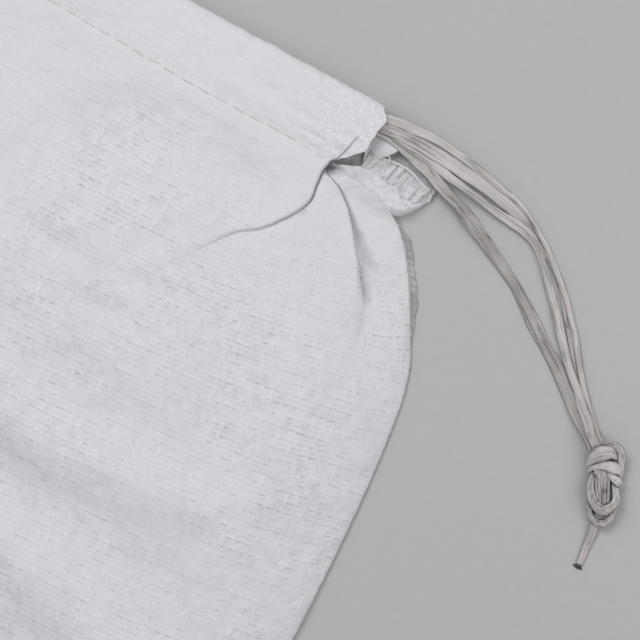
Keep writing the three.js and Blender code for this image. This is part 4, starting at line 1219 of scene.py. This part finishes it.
# Turned layer of the rear hem, seen inside the mouth

# It runs from its back, below the front hem, to its open lip, which curls over
LAYER_BACK = [
    (118.8, 268.6, 8.0), (117.3, 271.6, 8.1), (116.4, 274.6, 8.0), (114.5, 279, 7.8), (113, 283, 7.6),
    (112.5, 287, 7.6), (112.5, 290, 7.8), (113, 293, 7.8),
]
LAYER_LIP = [
    (119.8, 269.2, 8.5), (121.6, 272.7, 9.2), (124.4, 276.3, 9.7), (126.9, 279, 9.8), (129.4, 282, 9.7),
    (130.5, 284.2, 9.5), (132.5, 286.5, 9.2), (136, 290, 8.6),
]
LAYER_LENGTHWISE, LAYER_ACROSS, CURL_COLUMNS = 70, 40, 8
CURL_RADIUS = 0.7
layer_points = np.arange(float(len(LAYER_LIP)))
layer_along = np.linspace(0, layer_points[-1], LAYER_LENGTHWISE)
layer_back, layer_lip = (
    spread(layer_points, np.array(line), layer_along)[:, None, :] for line in (LAYER_BACK, LAYER_LIP))
layer_share = np.concatenate([np.linspace(0, 1, LAYER_ACROSS), np.ones(CURL_COLUMNS)])
curl_angle = np.concatenate([np.zeros(LAYER_ACROSS), np.linspace(0.3, 2.6, CURL_COLUMNS)])
curl_out = CURL_RADIUS * np.sin(curl_angle)
curl_down = CURL_RADIUS * (1 - np.cos(curl_angle))
layer = mix(layer_back, layer_lip, layer_share[None, :, None])
layer[..., 2] -= 0.9 * np.sin(np.pi * layer_share)
layer[..., 2] += 0.3 * noise(layer[..., 0], layer[..., 1], 6, 76)
layer[..., 0] += 0.75 * curl_out
layer[..., 1] -= 0.65 * curl_out
layer[..., 2] -= curl_down
# The turned layer is greyed as painted shade inside the mouth
layer_shade = np.full(layer.shape[:2], -0.24)
layer_flat = [0.35 * layer[..., 0] + LAYER_FLAT, 0.35 * layer[..., 1], layer_shade]
flap_parts.add(layer, np.stack(layer_flat, axis=-1))
flap = flap_parts.build("rear_hem_end_cloth", CLOTH)

# Sewing thread


def surface_sampler(row_mask, grid_x, grid_z):
    """Height of a grid at any x, from the row of the mask that is nearest to y."""
    candidates = np.where(row_mask)[0]

    def height(x, y):
        row = candidates[np.argmin(np.abs(row_y[candidates, 0] - y))]
        return np.interp(x, grid_x[row], grid_z[row])
    return height


def stitches(name, node, start, stop, seam, pitch, height_at, radius, seed, lift=0.0):
    """A line of separate stitches, each sinking into the cloth at both of its ends."""
    parts = Parts()
    generator = np.random.default_rng(seed)
    x, number = start, 0
    while x + pitch * 0.7 < stop:
        length = pitch * generator.uniform(0.92, 1.08)
        ends = (x + length * STITCH_GAP / 2, min(x + length * (1 - STITCH_GAP / 2), stop))
        skew = generator.uniform(-0.25, 0.25, 2)
        t = np.linspace(0, 1, 13)
        px = mix(ends[0], ends[1], t)
        py = table(seam, px) + mix(skew[0], skew[1], t) + 0.15 * noise(px, seed, 3.0, seed)
        pz = np.array([height_at(a, b) for a, b in zip(px, py)])
        pz = pz + lift + radius * (0.9 * np.sqrt(np.sin(np.pi * t)) - 0.45)
        thick = radius * generator.uniform(0.8, 1.15)
        tube(parts, np.column_stack([px, py, pz]), thick, flat=0.75, seed=number)
        x, number = x + length, number + 1
    piece = parts.build(name, THREAD)
    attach(piece, "root")
    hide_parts(node)
    return piece


BOTTOM_SEAM_LINE = [(-200, BOTTOM_SEAM_Y), (200, BOTTOM_SEAM_Y)]
REAR_SEAM_LINE = [(-200, SEAM_Y), (200, SEAM_Y)]
from_left_x, from_left_z = rear_x[:, ::-1], rear_z[:, ::-1]
front_stitches = stitches(
    "hem_stitches_front", "hem_thread_front", -197, 101, SEAM_LINE, HEM_STITCH,
    surface_sampler(panel, front_x, front_z), 0.58, 81, lift=-0.04)
bottom_stitches = stitches(
    "bottom_stitches", "bottom_thread", -198, 198, BOTTOM_SEAM_LINE, BOTTOM_STITCH,
    surface_sampler(turned, from_left_x, from_left_z), 0.6, 82)
rear_stitches = stitches(
    "hem_stitches_rear", "hem_thread_rear", -170, 90, REAR_SEAM_LINE, HEM_STITCH,
    surface_sampler(inner, from_left_x, from_left_z), 0.5, 83)

RIM_THREAD = [
    (130.9, 276.6, 9.7), (133, 277.1, 9.9), (135.9, 277.3, 10.1), (139.2, 277.0, 10.1), (142.6, 276.3, 9.8),
    (145.7, 275.2, 9.2), (147.4, 274.4, 8.6),
]
RIM_LOOP = [
    (123.6, 274.6, 9.6), (124.6, 276.2, 10.1), (126.2, 277.8, 10.5), (127.8, 278.5, 10.5),
    (129, 277.8, 10.2), (129.2, 276.6, 9.8), (128.2, 275.7, 9.3), (127.4, 275.2, 8.6),
]
rim_parts = Parts()
tube(rim_parts, curve_through(RIM_THREAD, 50)[0], 0.5, seed=5)
tube(rim_parts, curve_through(RIM_LOOP, 40)[0], 0.32, seed=6)
rim_thread = rim_parts.build("rear_hem_end_thread", THREAD)
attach(rim_thread, "root")

for piece in (bag, flap):
    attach(piece, "root")
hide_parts("bag_cloth")

# Floor and light

FLOOR_HALF = 12.0
VIEW_MIDDLE = np.array([0.10, 0.15, 0.01])

floor_mesh = bpy.data.meshes.new("floor")
corners = [(x * FLOOR_HALF, y * FLOOR_HALF, 0) for x, y in ((-1, -1), (1, -1), (1, 1), (-1, 1))]
floor_mesh.from_pydata(corners, [], [(0, 1, 2, 3)])
floor_mesh.materials.append(floor_material("pale_floor"))
floor = bpy.data.objects.new("floor", floor_mesh)
bpy.context.scene.collection.objects.link(floor)


def area_light(name, direction, distance, size, power, colour):
    """A square soft light that looks at the middle of the view."""
    data = bpy.data.lights.new(name, "AREA")
    data.shape = "SQUARE"
    data.size = size
    data.energy = power
    data.color = colour
    light = bpy.data.objects.new(name, data)
    towards = -distance * unit(np.array(direction, float))
    light.location = (VIEW_MIDDLE - towards).tolist()
    flat = math.hypot(towards[0], towards[1])
    light.rotation_euler = (math.atan2(flat, -towards[2]), 0, math.atan2(-towards[0], towards[1]))
    bpy.context.scene.collection.objects.link(light)


area_light("key", (-0.53, 0.36, 1.0), distance=1.8, size=0.9, power=14.2, colour=(1.0, 0.99, 0.98))
area_light("fill", (0.88, 0.14, 1.12), distance=2.2, size=1.8, power=18.6, colour=(1.0, 0.995, 0.99))

world = bpy.data.worlds.new("soft_studio")
world.use_nodes = True
background = world.node_tree.nodes["Background"].inputs
background["Color"].default_value = (0.98, 0.985, 1.0, 1)
background["Strength"].default_value = 0.30
bpy.context.scene.world = world
bpy.context.scene.view_settings.view_transform = "Standard"
